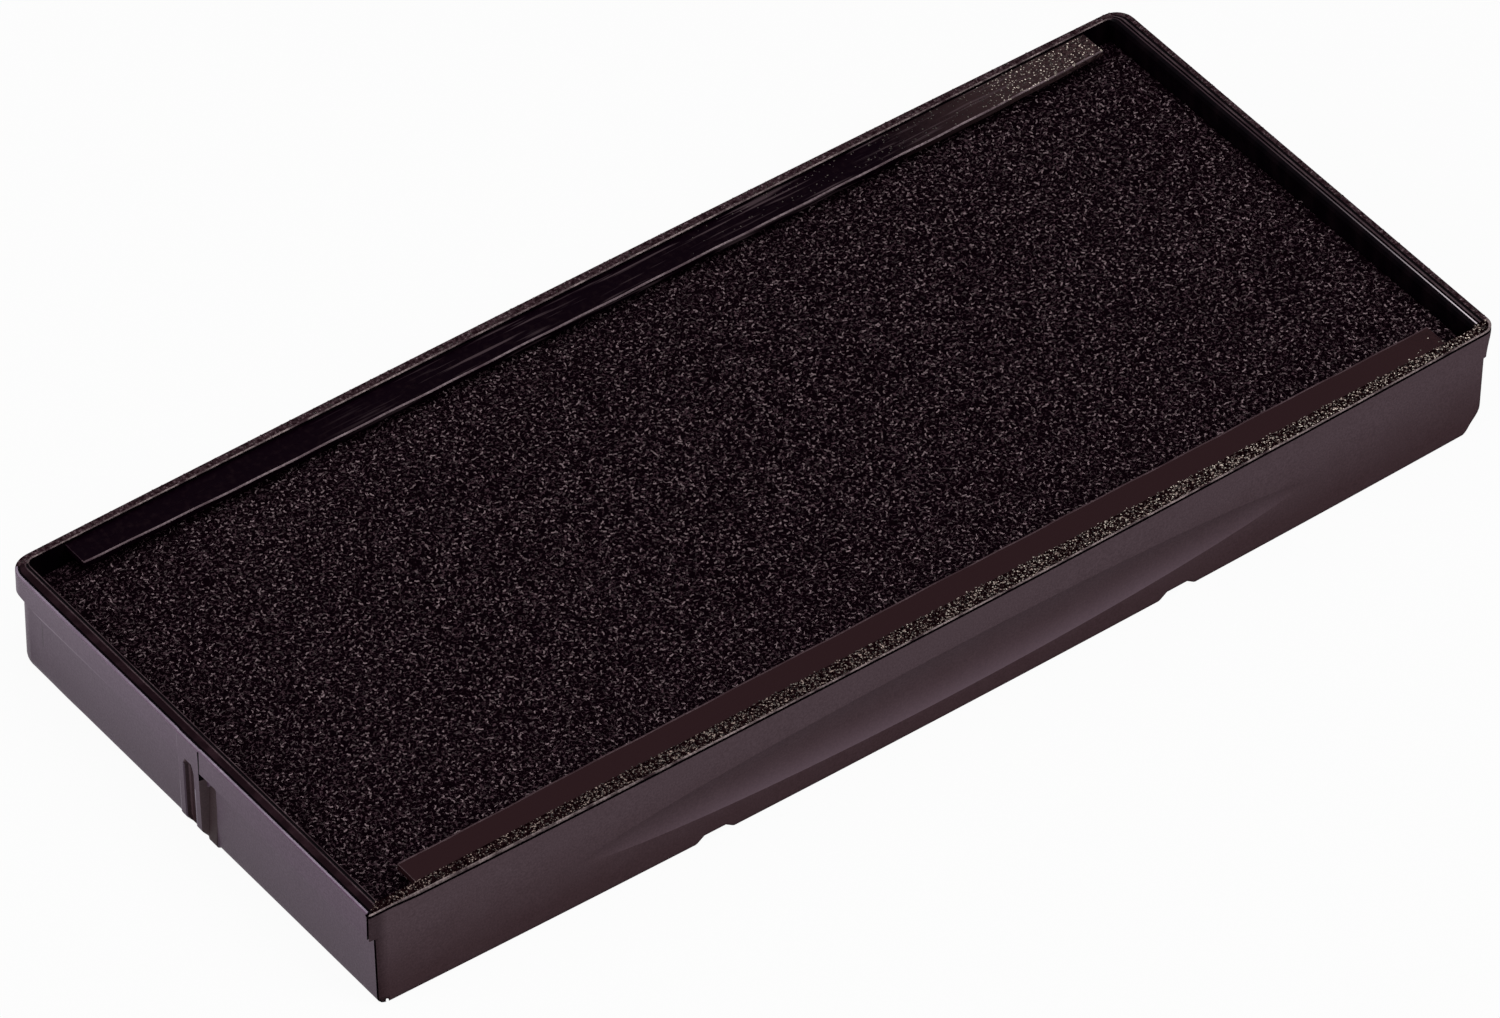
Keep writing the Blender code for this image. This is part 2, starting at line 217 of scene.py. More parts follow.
class NodeTree:
    """A node tree that is built by code, for a material, the world or a shape."""

    def __init__(self, tree: bpy.types.NodeTree) -> None:
        """Starts from an empty tree."""
        self.tree = tree
        self.tree.nodes.clear()

    def node(
        self,
        kind: str,
        settings: dict[str, object] | None = None,
        inputs: dict[int | str, object] | None = None,
        output: int | str = 0,
    ) -> Wire:
        """Adds a node.

        Args:
            kind: The node's type.
            settings: The node's own settings, which are set before its sockets.
            inputs: A value, a wire or a list of wires for each socket, by its place or name.
            output: The output that is returned.

        Returns:
            The chosen output.
        """
        made = self.tree.nodes.new(kind)
        for name, value in (settings or {}).items():
            setattr(made, name, value)
        for key, value in (inputs or {}).items():
            socket = made.inputs[key]
            for part in value if isinstance(value, list) else [value]:
                if isinstance(part, Wire):
                    self.tree.links.new(part.socket, socket)
                else:
                    socket.default_value = part
        return Wire(self, made.outputs[output] if made.outputs else made.inputs[0])

    def split(self, vector: Wire) -> tuple[Wire, Wire, Wire]:
        """The three parts of a vector."""
        parts = self.node("ShaderNodeSeparateXYZ", None, {0: vector}).socket.node.outputs
        return Wire(self, parts[0]), Wire(self, parts[1]), Wire(self, parts[2])

    def vector(self, x: Wire | float, y: Wire | float, z: Wire | float) -> Wire:
        """A vector of three parts."""
        return self.node("ShaderNodeCombineXYZ", None, {0: x, 1: y, 2: z})


class Shader(NodeTree):
    """A material's tree, round one Principled shader. Its patterns are in millimetres."""

    def __init__(self, name: str, roughness: float, specular: float) -> None:
        """Makes the material and its shader.

        Args:
            name: The material's name.
            roughness: How matt it is, where no pattern changes that.
            specular: The strength of its reflections, the same all over.
        """
        self.material = bpy.data.materials.new(name)
        self.material.use_nodes = True
        super().__init__(self.material.node_tree)
        sockets = {"Roughness": roughness, "Specular IOR Level": specular}
        self.surface = self.node("ShaderNodeBsdfPrincipled", None, sockets)
        self.node("ShaderNodeOutputMaterial", None, {"Surface": self.surface})
        place = self.node("ShaderNodeTexCoord", None, None, "Object")
        scaled = {0: place, "Scale": 1 / MM}
        self.place = self.node("ShaderNodeVectorMath", {"operation": "SCALE"}, scaled)

    def feed(self, socket: str, wire: Wire) -> None:
        """Links a wire to one of the shader's sockets."""
        self.tree.links.new(wire.socket, self.surface.socket.node.inputs[socket])

    def noise(self, pitch: float, detail: float = 2.0, stretch: Point = (1, 1, 1)) -> Wire:
        """A noise of 0 to 1.

        Args:
            pitch: The size of its features, in millimetres.
            detail: How many finer layers it has.
            stretch: How many times longer the features are along each axis.

        Returns:
            The noise's value.
        """
        scale = {"Vector": self.place, "Scale": tuple(1 / part for part in stretch)}
        mapped = self.node("ShaderNodeMapping", None, scale)
        inputs = {"Vector": mapped, "Scale": 1 / pitch, "Detail": detail}
        return self.node("ShaderNodeTexNoise", None, inputs)

    def attribute(self, name: str) -> Wire:
        """A number that the mesh carries under this name."""
        return self.node("ShaderNodeAttribute", {"attribute_name": name}, None, "Fac")

    def mix(self, share: Wire | float, low: Wire | Colour, high: Wire | Colour) -> Wire:
        """A colour between two others.

        Args:
            share: 0 for the first colour and 1 for the second.
            low: The first colour.
            high: The second colour.

        Returns:
            The mixed colour.
        """
        low, high = (c if isinstance(c, Wire) else (*c, 1.0) for c in (low, high))
        inputs = {0: share, 6: low, 7: high}
        return self.node("ShaderNodeMix", {"data_type": "RGBA"}, inputs, 2)

    def bump(self, height: Wire, depth: float, strength: float = 1.0) -> None:
        """Raises the surface's shading by a height of 0 to 1, which is depth millimetres."""
        inputs = {"Height": height, "Distance": depth * MM, "Strength": strength}
        self.feed("Normal", self.node("ShaderNodeBump", None, inputs))


class Grower(NodeTree):
    """A Geometry Nodes tree that makes one piece's mesh."""

    def __init__(self, name: str) -> None:
        """Starts a tree with its input and output.

        Args:
            name: The tree's name, which its mesh takes.
        """
        super().__init__(bpy.data.node_groups.new(name, "GeometryNodeTree"))
        self.tree.interface.new_socket("Shape", in_out="OUTPUT", socket_type="NodeSocketGeometry")
        self.entry = self.tree.nodes.new("NodeGroupInput")
        self.values: dict[str, float] = {}

    def size(self, name: str, value: float) -> Wire:
        """A named input of the tree.

        Args:
            name: The input's name.
            value: What the modifier gives it.

        Returns:
            The input's value inside the tree.
        """
        kind = "NodeSocketFloat"
        socket = self.tree.interface.new_socket(name, in_out="INPUT", socket_type=kind)
        self.values[socket.identifier] = value
        return Wire(self, self.entry.outputs[name])

    def host(self) -> Wire:
        """The mesh that the modifier sits on, which is the tree's first input."""
        self.tree.interface.new_socket("Host", in_out="INPUT", socket_type="NodeSocketGeometry")
        return Wire(self, self.entry.outputs["Host"])

    def random(self, low: float | Point, high: float | Point, seed: int) -> Wire:
        """A random number, or vector, for each item.

        Args:
            low: The least that it can be.
            high: The most that it can be.
            seed: What the numbers are drawn from.

        Returns:
            The number or vector.
        """
        if isinstance(low, tuple):
            settings, inputs = {"data_type": "FLOAT_VECTOR"}, {0: low, 1: high, 8: seed}
            return self.node("FunctionNodeRandomValue", settings, inputs, 0)
        settings, inputs = {"data_type": "FLOAT"}, {2: low, 3: high, 8: seed}
        return self.node("FunctionNodeRandomValue", settings, inputs, 1)

    def read(self, name: str) -> Wire:
        """A number that the host's faces carry under this name."""
        kind = {"data_type": "FLOAT"}
        return self.node("GeometryNodeInputNamedAttribute", kind, {"Name": name})

    def toned(self, shape: Wire, domain: str, tone: Wire) -> Wire:
        """Gives a shape the tones that its finish reads.

        Args:
            shape: The points or copies.
            domain: Which of the two they are.
            tone: The tone of each, from 0 to 1.

        Returns:
            The shape with its tones.
        """
        settings = {"data_type": "FLOAT", "domain": domain}
        inputs = {"Geometry": shape, "Name": TONE, "Value": tone}
        return self.node("GeometryNodeStoreNamedAttribute", settings, inputs)

    def grow(
        self, shape: Wire, material: bpy.types.Material, host: bpy.types.Mesh | None
    ) -> bpy.types.Mesh:
        """Ends the tree, runs it and keeps what it makes as a plain mesh.

        Args:
            shape: The tree's geometry.
            material: What the result is dressed in.
            host: The mesh that the tree reads as its first input, if it reads one.

        Returns:
            The mesh, with every copy made real.
        """
        real = self.node("GeometryNodeRealizeInstances", None, {"Geometry": shape})
        dressed = {"Geometry": real, "Material": material}
        shape = self.node("GeometryNodeSetMaterial", None, dressed)
        self.node("NodeGroupOutput", None, {0: shape})
        name = self.tree.name
        carrier = add_object(name, host.copy() if host else bpy.data.meshes.new(name))
        modifier = carrier.modifiers.new(name, "NODES")
        modifier.node_group = self.tree
        for identifier, value in self.values.items():
            modifier[identifier] = value
        seen = carrier.evaluated_get(bpy.context.evaluated_depsgraph_get())
        mesh = bpy.data.meshes.new_from_object(seen)
        carrier.modifiers.clear()
        bpy.data.objects.remove(carrier)
        mesh.name = name
        return mesh


# ------------------------------
# Finishes
# ------------------------------


@dataclass(frozen=True)
class ScoopHighlight:
    """A painted highlight on the front wall, fading upwards from the finger scoop's lower edge, in
    millimetres.
    """

    middle: float
    half_height: float
    half_length: float
    fullness: float
    fade: float = 1.5
    strength: float = 0.36
    tone: Colour = srgb(112, 97, 108)

    def on(self, shader: Shader, base: Wire, grain: Wire) -> Wire:
        """Draws the mark on a wall.

        Args:
            shader: The wall's shader.
            base: The wall's colour so far.
            grain: The wall's grain, which this mark doesn't follow.

        Returns:
            The wall's colour with the mark.
        """
        x, y, z = shader.split(shader.place)
        tips = (1 - (x / self.half_length) ** 2.0).maths("MAXIMUM", 0.0)
        span = tips**self.fullness * self.half_height
        rise = z - (self.middle - span)
        # Painted highlight: the scoop's upward-facing lower half is drawn paler, strongest at its
        # lower edge.
        painted_highlight = (1 - rise.between(0.0, self.fade)) ** 1.6 * rise.over(0.0)
        painted_highlight *= span.between(0.25, 1.2)
        return shader.mix(painted_highlight * (y * -1).over(0.0) * self.strength, base, self.tone)


@dataclass(frozen=True)
class CornerShade:
    """Painted shade on the front wall's rounding beside its left corner, in millimetres."""

    corner: float
    solid: float = 0.45
    reach: float = 0.95
    strength: float = 0.6
    tone: Colour = srgb(30, 17, 20)

    def on(self, shader: Shader, base: Wire, grain: Wire) -> Wire:
        """Draws the mark on a wall.

        Args:
            shader: The wall's shader.
            base: The wall's colour so far.
            grain: The wall's grain, which breaks the painted shade up.

        Returns:
            The wall's colour with the mark.
        """
        x, y, _ = shader.split(shader.place)
        near = x.between(self.corner + self.reach, self.corner + self.solid)
        # Painted shade, darkest at the corner and fading along the wall.
        painted_shade = near * (0.55 + grain * 0.6)
        return shader.mix(painted_shade * (y * -1).over(0.0) * self.strength, base, self.tone)


@dataclass(frozen=True)
class EndWallMarks:
    """The left wall's painted sheen, its lip's lower edge as a painted highlight line, and an
    upright scratch, in millimetres.
    """

    bloom: Colour = srgb(106, 92, 106)
    # The lip's lower edge is a painted highlight line: its height and its colour.
    line_height: float = 4.62
    line: Colour = srgb(150, 138, 150)
    scratch_y: float = 11.95
    scratch_height: float = 3.0
    scratch: Colour = srgb(20, 12, 16)
    thin: tuple[float, float] = (0.02, 0.06)

    def on(self, shader: Shader, base: Wire, grain: Wire) -> Wire:
        """Draws the marks on a wall.

        Args:
            shader: The wall's shader.
            base: The wall's colour so far.
            grain: The wall's grain, which these marks don't follow.

        Returns:
            The wall's colour with the marks.
        """
        _, y, z = shader.split(shader.place)
        # Painted sheen, paler upwards and towards the rear.
        bloom = (0.25 + z.between(1.5, 6.0)) * y.between(-9, 11) * 0.42
        base = shader.mix(bloom, base, self.bloom)
        # A painted highlight line along the lip's lower edge, towards the rear.
        line = 1 - abs(z - self.line_height).between(*self.thin)
        base = shader.mix(line * y.between(5.5, 12.5) * 0.5, base, self.line)
        upright = 1 - abs(y - self.scratch_y).between(*self.thin)
        scratch = upright * (1 - abs(z - self.scratch_height).between(0.5, 0.8))
        return shader.mix(scratch * 0.5, base, self.scratch)


@dataclass(frozen=True)
class MouldedWall:
    """An outer wall of the tray: fine matt moulding, paler towards its upper edge as painted sheen
    and darker towards its foot as painted shade.
    """

    name: str
    upper: Colour
    lower: Colour
    specular: float
    roughness: float = 0.5
    low: float = 0.8
    high: float = 5.7
    marks: tuple[ScoopHighlight | CornerShade | EndWallMarks, ...] = ()
    grain_pitch: float = 0.1
    cloud_pitch: float = 1.6
    cloud_share: float = 0.35
    pit_share: float = 0.34
    pit_depth: float = 0.3
    bump_depth: float = 0.012

    def material(self) -> bpy.types.Material:
        """Makes the material.

        Returns:
            The material, with grain, clouds and the marks that the wall shows.
        """
        shader = Shader(self.name, self.roughness, self.specular)
        grain = shader.noise(self.grain_pitch, 3)
        cloudy = shader.noise(self.cloud_pitch, 2)
        # Painted sheen towards the upper edge and painted shade towards the foot, by height.
        height = shader.split(shader.place)[2].between(self.low, self.high)
        share = height + (cloudy - 0.5) * self.cloud_share
        base = shader.mix(share, self.lower, self.upper)
        pits = tuple(part * self.pit_depth for part in self.lower)
        base = shader.mix(grain.between(0.3, 0.7) * self.pit_share, base, pits)
        for mark in self.marks:
            base = mark.on(shader, base, grain)
        shader.feed("Base Color", base)
        shader.feed("Roughness", self.roughness + (grain - 0.5) * 0.2)
        shader.bump(grain * 0.8 + cloudy * 0.5, self.bump_depth, 0.6)
        return shader.material


@dataclass(frozen=True)
class RoughLand:
    """Coarse speckled moulding on the rim, with pale glints."""

    name: str
    dark: Colour
    middle: Colour
    pale: Colour
    pitch: float = 0.16
    glints: float = 0.6
    glint_width: float = 0.07
    middle_from: float = 0.36
    middle_to: float = 0.62
    bump_depth: float = 0.05

    def material(self) -> bpy.types.Material:
        """Makes the material.

        Returns:
            The material, dark and middle by a coarse noise, with glints at its peaks.
        """
        shader = Shader(self.name, 0.5, 0.0)
        coarse = shader.noise(self.pitch, 2)
        fine = shader.noise(self.pitch * 0.5, 2)
        share = coarse.between(self.middle_from, self.middle_to)
        base = shader.mix(share, self.dark, self.middle)
        peaks = coarse * 0.5 + fine * 0.5
        glint = peaks.between(self.glints, self.glints + self.glint_width)
        shader.feed("Base Color", shader.mix(glint, base, self.pale))
        shader.feed("Roughness", 0.65 - glint * 0.25)
        shader.bump(coarse * 0.6 + fine * 0.4, self.bump_depth, 0.9)
        return shader.material


@dataclass(frozen=True)
class EdgeHighlight:
    """A thin edge or ridge with a painted highlight, paler and smoother than the plastic round it.
    """

    name: str
    pale: Colour
    dark: Colour
    runs: float = 1.1
    specular: float = 0.2
    front_pale: Colour | None = None
    steady: float = 0.0
    speck_pitch: float = 0.13
    bump_depth: float = 0.01

    def material(self) -> bpy.types.Material:
        """Makes the material.

        Returns:
            The material, pale in short stretches along the edge.
        """
        shader = Shader(self.name, 0.36, self.specular)
        runs = shader.noise(self.runs, 3)
        specks = shader.noise(self.speck_pitch, 1)
        share = runs.between(0.32, 0.62) * (0.45 + 0.55 * specks.between(0.35, 0.6))
        share = (share + self.steady).maths("MINIMUM", 1.0)
        pale = self.pale
        if self.front_pale:
            y = shader.split(shader.place)[1]
            # The painted highlight grows brighter towards the front.
            pale = shader.mix(y.between(7, -13) ** 3.5, self.pale, self.front_pale)
        shader.feed("Base Color", shader.mix(share, self.dark, pale))
        shader.feed("Roughness", 0.5 - share * 0.2)
        shader.bump(specks, self.bump_depth, 0.4)
        return shader.material


@dataclass(frozen=True)
class InkedPlastic:
    """Black plastic, wet with ink."""

    name: str
    black: Colour
    brown: Colour
    film_pitch: float = 0.9
    film_stretch: Point = (1, 1, 3)
    bump_depth: float = 0.01

    def material(self) -> bpy.types.Material:
        """Makes the material.

        Returns:
            The material, with a thin uneven film of ink.
        """
        shader = Shader(self.name, 0.35, 0.02)
        film = shader.noise(self.film_pitch, 3, self.film_stretch)
        shader.feed("Base Color", shader.mix(film.between(0.45, 0.75), self.black, self.brown))
        shader.feed("Roughness", 0.25 + film * 0.3)
        shader.bump(film, self.bump_depth, 0.5)
        return shader.material


@dataclass(frozen=True)
class SatinStrip:
    """A retaining strip: smooth plastic whose weld leaves it rough towards one end, paler there as
    a painted reflection, with painted highlights along its drawn lines.
    """

    name: str
    left: Colour
    right: Colour
    rough_from: float
    rough_to: float
    streak_from: float = 0.0
    streak: Colour = srgb(70, 55, 58)
    specular: float = 0.03
    streak_fade: float = 8
    pit: Colour = srgb(12, 5, 8)
    line_pitch: float = 0.16
    line_stretch: Point = (26, 1, 1)
    grain_pitch: float = 0.13
    cloud_pitch: float = 0.3
    bump_depth: float = 0.02

    def material(self) -> bpy.types.Material:
        """Makes the material.

        Returns:
            The material, with faint drawn lines along the strip.
        """
        shader = Shader(self.name, 0.4, self.specular)
        drawn = shader.noise(self.line_pitch, 2, self.line_stretch)
        grain = shader.noise(self.grain_pitch, 2)
        cloudy = shader.noise(self.cloud_pitch, 2)
        x = shader.split(shader.place)[0]
        along = x.between(self.rough_from, self.rough_to)
        # Paler towards the rough end: partly the rough moulding's own tone, partly a painted
        # reflection.
        base = shader.mix(along + (cloudy - 0.5) * 0.25, self.left, self.right)
        faded_in = x.between(self.streak_from, self.streak_from + self.streak_fade)
        # Painted highlights along the drawn lines, fading in from streak_from.
        streak = drawn.between(0.56, 0.68) * faded_in
        lit = shader.mix(streak * 0.7, base, self.streak)
        pits = grain.between(0.44, 0.56) * along.between(0.5, 1.0)
        shader.feed("Base Color", shader.mix(pits * 0.8, lit, self.pit))
        shader.feed("Roughness", 0.4 + along * 0.25)
        shader.bump(drawn * 0.4 + grain * (0.1 + 0.9 * along), self.bump_depth, 0.5)
        return shader.material


@dataclass(frozen=True)
class InkedCloth:
    """The inked face below its pile: near-black, with fine curly flecks."""

    ground: Colour = srgb(7, 2, 5)
    fleck: Colour = srgb(66, 50, 56)
    pitch: float = 0.2
    line_half_width: float = 0.06
    bump_depth: float = 0.05

    def material(self) -> bpy.types.Material:
        """Makes the material.

        Returns:
            The material. Its flecks are the thin lines along which a noise crosses its middle.
        """
        shader = Shader("cover_cloth_ground", 0.85, 0.0)
        curls = shader.noise(self.pitch, 1)
        breaks = shader.noise(self.pitch * 0.9, 1, (1, 1, 0.7))
        line = 1 - abs(curls - 0.5).between(0.0, self.line_half_width)
        share = line * breaks.between(0.42, 0.6)
        shader.feed("Base Color", shader.mix(share, self.ground, self.fleck))
        shader.bump(line * 0.7 + curls * 0.3, self.bump_depth, 0.8)
        return shader.material


@dataclass(frozen=True)
class TonedSpecks:
    """Fibres or raised specks, each with a tone of its own that its mesh carries."""

    name: str
    dark: Colour
    pale: Colour
    roughness: float
    specular: float
    contrast: float
    spot_pitch: float
    spot_least: float
    spot_gain: float

    def material(self) -> bpy.types.Material:
        """Makes the material.

        Returns:
            The material, most of it dark, with finer spots inside each speck.
        """
        shader = Shader(self.name, self.roughness, self.specular)
        tone = shader.attribute(TONE)
        spots = shader.noise(self.spot_pitch, 1)
        share = tone**self.contrast * (self.spot_least + self.spot_gain * spots)
        shader.feed("Base Color", shader.mix(share, self.dark, self.pale))
        return shader.material


def pile_finish(name: str) -> TonedSpecks:
    """The finish of the cloth's curled fibres.

    Args:
        name: The material's name.

    Returns:
        The finish.
    """
    return TonedSpecks(
        name,
        srgb(17, 8, 12),
        srgb(112, 96, 100),
        roughness=0.6,
        specular=0.06,
        contrast=1.5,
        spot_pitch=0.1,
        spot_least=0.6,
        spot_gain=0.8,
    )


def grain_finish(name: str) -> TonedSpecks:
    """The finish of the raised specks on rough moulding, a few of them pale as painted glints.

    Args:
        name: The material's name.

    Returns:
        The finish.
    """
    return TonedSpecks(
        name,
        srgb(18, 9, 11),
        srgb(214, 200, 188),
        roughness=0.34,
        specular=0.15,
        contrast=2.4,
        spot_pitch=0.09,
        spot_least=0.5,
        spot_gain=1.0,
    )


@dataclass(frozen=True)
class SoakedLayer:
    """A hidden ink layer: open-cell foam or dense felt, soaked black."""

    name: str
    dark: Colour
    wet: Colour
    cell: float
    pore_from: float = 0.1
    pore_to: float = 0.55
    bump_depth: float = 0.12

    def material(self) -> bpy.types.Material:
        """Makes the material.

        Returns:
            The material, with pores or fibres at the layer's own scale.
        """
        shader = Shader(self.name, 0.7, 0.2)
        inputs = {"Vector": shader.place, "Scale": 1 / self.cell}
        cells = shader.node("ShaderNodeTexVoronoi", None, inputs, "Distance")
        pores = cells.between(self.pore_from, self.pore_to)
        shader.feed("Base Color", shader.mix(pores, self.dark, self.wet))
        shader.feed("Roughness", 0.85 - pores * 0.4)
        shader.bump(pores, self.bump_depth, 0.9)
        return shader.material


# ------------------------------
# Pieces
# ------------------------------


class Zone(Enum):
    """The finishes on the tray. The value is the finish's place on the mesh."""

    # BEAD, HIGHLIGHT, LINE and INNER_LINE carry painted highlights, FLANK a paler copy of the wall
    # as painted light, and the black finish is both the inked cavity and painted shade in grooves
    # and creases.
    END_WALL = 0
    SIDE_WALL = 1
    FRONT_LAND = 2
    BROWN_LAND = 3
    BAND = 4
    BEAD = 5
    HIGHLIGHT = 6
    LINE = 7
    INSIDE = 8
    INNER_LINE = 9
    WEDGE = 10
    FLANK = 11


class StripZone(Enum):
    """The finishes on a retaining strip."""

    FACE = 0
    EDGE = 1
    END = 2


class Side(Enum):
    """The tray's four sides."""

    LEFT = 0
    FRONT = 1
    RIGHT = 2
    REAR = 3


class Turn(Enum):
    """The stretches of the tray's outline, anticlockwise from above."""

    FRONT_LEFT = 0
    FRONT = 1
    FRONT_RIGHT = 2
    RIGHT = 3
    REAR_RIGHT = 4
    REAR = 5
    REAR_LEFT = 6
    LEFT = 7


SIDE_TURNS = {Turn[side.name]: side for side in Side}
Radii = tuple[tuple[float, float], ...]


def shade(mesh: bpy.types.Mesh, angle: float) -> None:
    """Shades a mesh smooth, with its edges sharp where they turn by more than the angle."""
    mesh.shade_smooth()
    mesh.set_sharp_from_angle(angle=math.radians(angle))


def place_piece(
    name: str, mesh: bpy.types.Mesh, nodes: Sequence[str] = ()
) -> bpy.types.Object:
    """Puts a finished mesh in the scene as a piece of the object.

    Args:
        name: The piece's name.
        mesh: Its mesh, already in place.
        nodes: The frame's nodes that it stands for.

    Returns:
        The piece.
    """
    piece = add_object(name, mesh)
    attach(piece, BODY)
    if nodes:
        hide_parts(*nodes)
    log.info("%s: %d faces", name, len(mesh.polygons))
    return piece


def faced_mesh(
    name: str,
    points: Sequence[Point],
    faces: Sequence[tuple[int, ...]],
    zones: Sequence[Enum],
    specks: Sequence[Specks],
) -> bpy.types.Mesh:
    """Makes a mesh whose faces carry their finish and their specks.

    Args:
        name: The mesh's name.
        points: Its points.
        faces: The points of each face, in order round it.
        zones: The finish of each face.
        specks: How dense the raised specks on each face are, and how bright their painted glints
            are.

    Returns:
        The mesh.
    """
    mesh = bpy.data.meshes.new(name)
    mesh.from_pydata(points, [], faces)
    mesh.polygons.foreach_set("material_index", [zone.value for zone in zones])
    for place, attribute in enumerate((ROUGH, LIT)):
        stored = mesh.attributes.new(attribute, "FLOAT", "FACE")
        stored.data.foreach_set("value", [pair[place] for pair in specks])
    mesh.update()
    return mesh


def spaced(low: float, high: float, step: float) -> list[float]:
    """Evenly spaced values from low to high, about step apart."""
    count = max(1, round((high - low) / step))
    return [low + (high - low) * i / count for i in range(count + 1)]


def merged(groups: Iterable[Iterable[float]], least: float) -> list[float]:
    """Joins groups of values.

    Args:
        groups: The groups.
        least: The least gap between two values that are both kept.

    Returns:
        The values in order, less those too near to the one before.
    """
    kept: list[float] = []
    for value in sorted(value for group in groups for value in group):
        if not kept or value - kept[-1] >= least:
            kept.append(value)
    return kept


@dataclass(frozen=True)
class Station:
    """A place on the outline: metres along a side, or a share of a corner's quarter turn.

    A place below 0 on a corner lies before it, in the crease beside the front left corner.
    """

    turn: Turn
    place: float
    sunk: float = 0.0


@dataclass(frozen=True)
class RimStep:
    """One step of the rim's section: how far in it lies, its height and the finish after it."""

    inset: float
    height: float
    zone: Zone
    bow_kept: float = 1.0


@dataclass
class Row:
    """One closed line round the tray's shell, with a reach, height and finish for each side."""

    reach: tuple[float, float, float, float]
    heights: tuple[float, float, float, float]
    radii: Radii
    zones: tuple[Zone, Zone, Zone, Zone]
    bow: float = 0.0
    rear_bow: float = 0.0
    seat: float = 0.0
    outside: bool = True
    lip: float = 1.0


def rim_section(steps: Iterable[tuple[float, float, Zone]]) -> tuple[RimStep, ...]:
    """The rim's section on one side, from millimetres."""
    return tuple(RimStep(inset * MM, height * MM, zone) for inset, height, zone in steps)


def front_land() -> tuple[RimStep, ...]:
    """The front rim's section: a bead with a painted highlight, and a rough land as wide as the
    wall's bulge.

    Returns:
        The steps, from the outer edge to the cavity.
    """
    bead, land, width = Zone.BEAD, Zone.FRONT_LAND, 0.6 * MM
    steps = ((0, 5.938, bead), (0.012, 5.955, bead), (0.03, 5.975, bead), (0.07, 5.975, land))
    shares = (0.18, 0.27, 0.36, 0.45, 0.54, 0.62, 0.70, 0.78, 0.85, 0.91, 0.97)
    across = tuple(RimStep(width * share, 5.955 * MM, land, 1 - share) for share in shares)
    return (*rim_section(steps), *across, RimStep(width, 5.90 * MM, Zone.INSIDE, 0.0))


def ridged_rim() -> dict[Side, tuple[RimStep, ...]]:
    """The rim's section on each side, from its outer edge to the cavity.

    Returns:
        The sides' steps, as many on each side.
    """
    black, brown, line = Zone.INSIDE, Zone.BROWN_LAND, Zone.LINE
    lit, band, bead, inner = Zone.HIGHLIGHT, Zone.BAND, Zone.BEAD, Zone.INNER_LINE
    # Painted light on the rim: the lit, line, inner and bead steps are painted highlights on edges
    # and ridges, and the black steps in the grooves are painted shade; the last black steps lead
    # down into the inked cavity.
    left = (
        (0, 5.95, Zone.END_WALL), (0.05, 5.985, lit), (0.10, 5.99, lit), (0.15, 5.985, black),
        (0.17, 5.93, black), (0.25, 5.93, black), (0.28, 5.975, band), (0.40, 5.97, band),
        (0.54, 5.975, band), (0.60, 5.985, line), (0.67, 5.985, black), (0.70, 5.93, black),
        (0.79, 5.93, black), (0.815, 5.965, line), (0.86, 5.965, black), (0.865, 5.91, black),
    )  # fmt: skip
    right = (
        (0, 5.94, brown), (0.02, 5.975, brown), (0.06, 5.985, brown), (0.17, 5.98, brown),
        (0.28, 5.975, black), (0.31, 5.93, black), (0.40, 5.93, black), (0.43, 5.98, line),
        (0.53, 5.98, black), (0.55, 5.93, black), (0.61, 5.93, black), (0.645, 5.985, inner),
        (0.71, 5.985, black), (0.735, 5.95, black), (0.80, 5.93, black), (0.86, 5.90, black),
    )  # fmt: skip
    land = ((hundredths / 100, 5.975, brown) for hundredths in range(12, 31, 3))
    rear = (
        (0, 5.93, brown), (0.02, 5.965, brown), (0.06, 5.98, brown), (0.09, 5.98, brown),
        *land, (0.33, 5.98, bead), (0.36, 5.985, bead), (0.385, 5.98, bead),
        (0.395, 5.96, black), (0.40, 5.92, black),
    )  # fmt: skip
    return {
        Side.LEFT: rim_section(left),
        Side.FRONT: front_land(),
        Side.RIGHT: rim_section(right),
        Side.REAR: rim_section(rear),
    }


def corner_radii(*pairs: tuple[float, float]) -> Radii:
    """The corners' plan radii along x and y, anticlockwise from front left, from millimetres."""
    return tuple((x * MM, y * MM) for x, y in pairs)


def drawn_in(radii: tuple[float, float], inset: float) -> tuple[float, float]:
    """A corner's radii, made smaller by an inset but never less than a fifth."""
    return max(radii[0] - inset, radii[0] / 5), max(radii[1] - inset, radii[1] / 5)


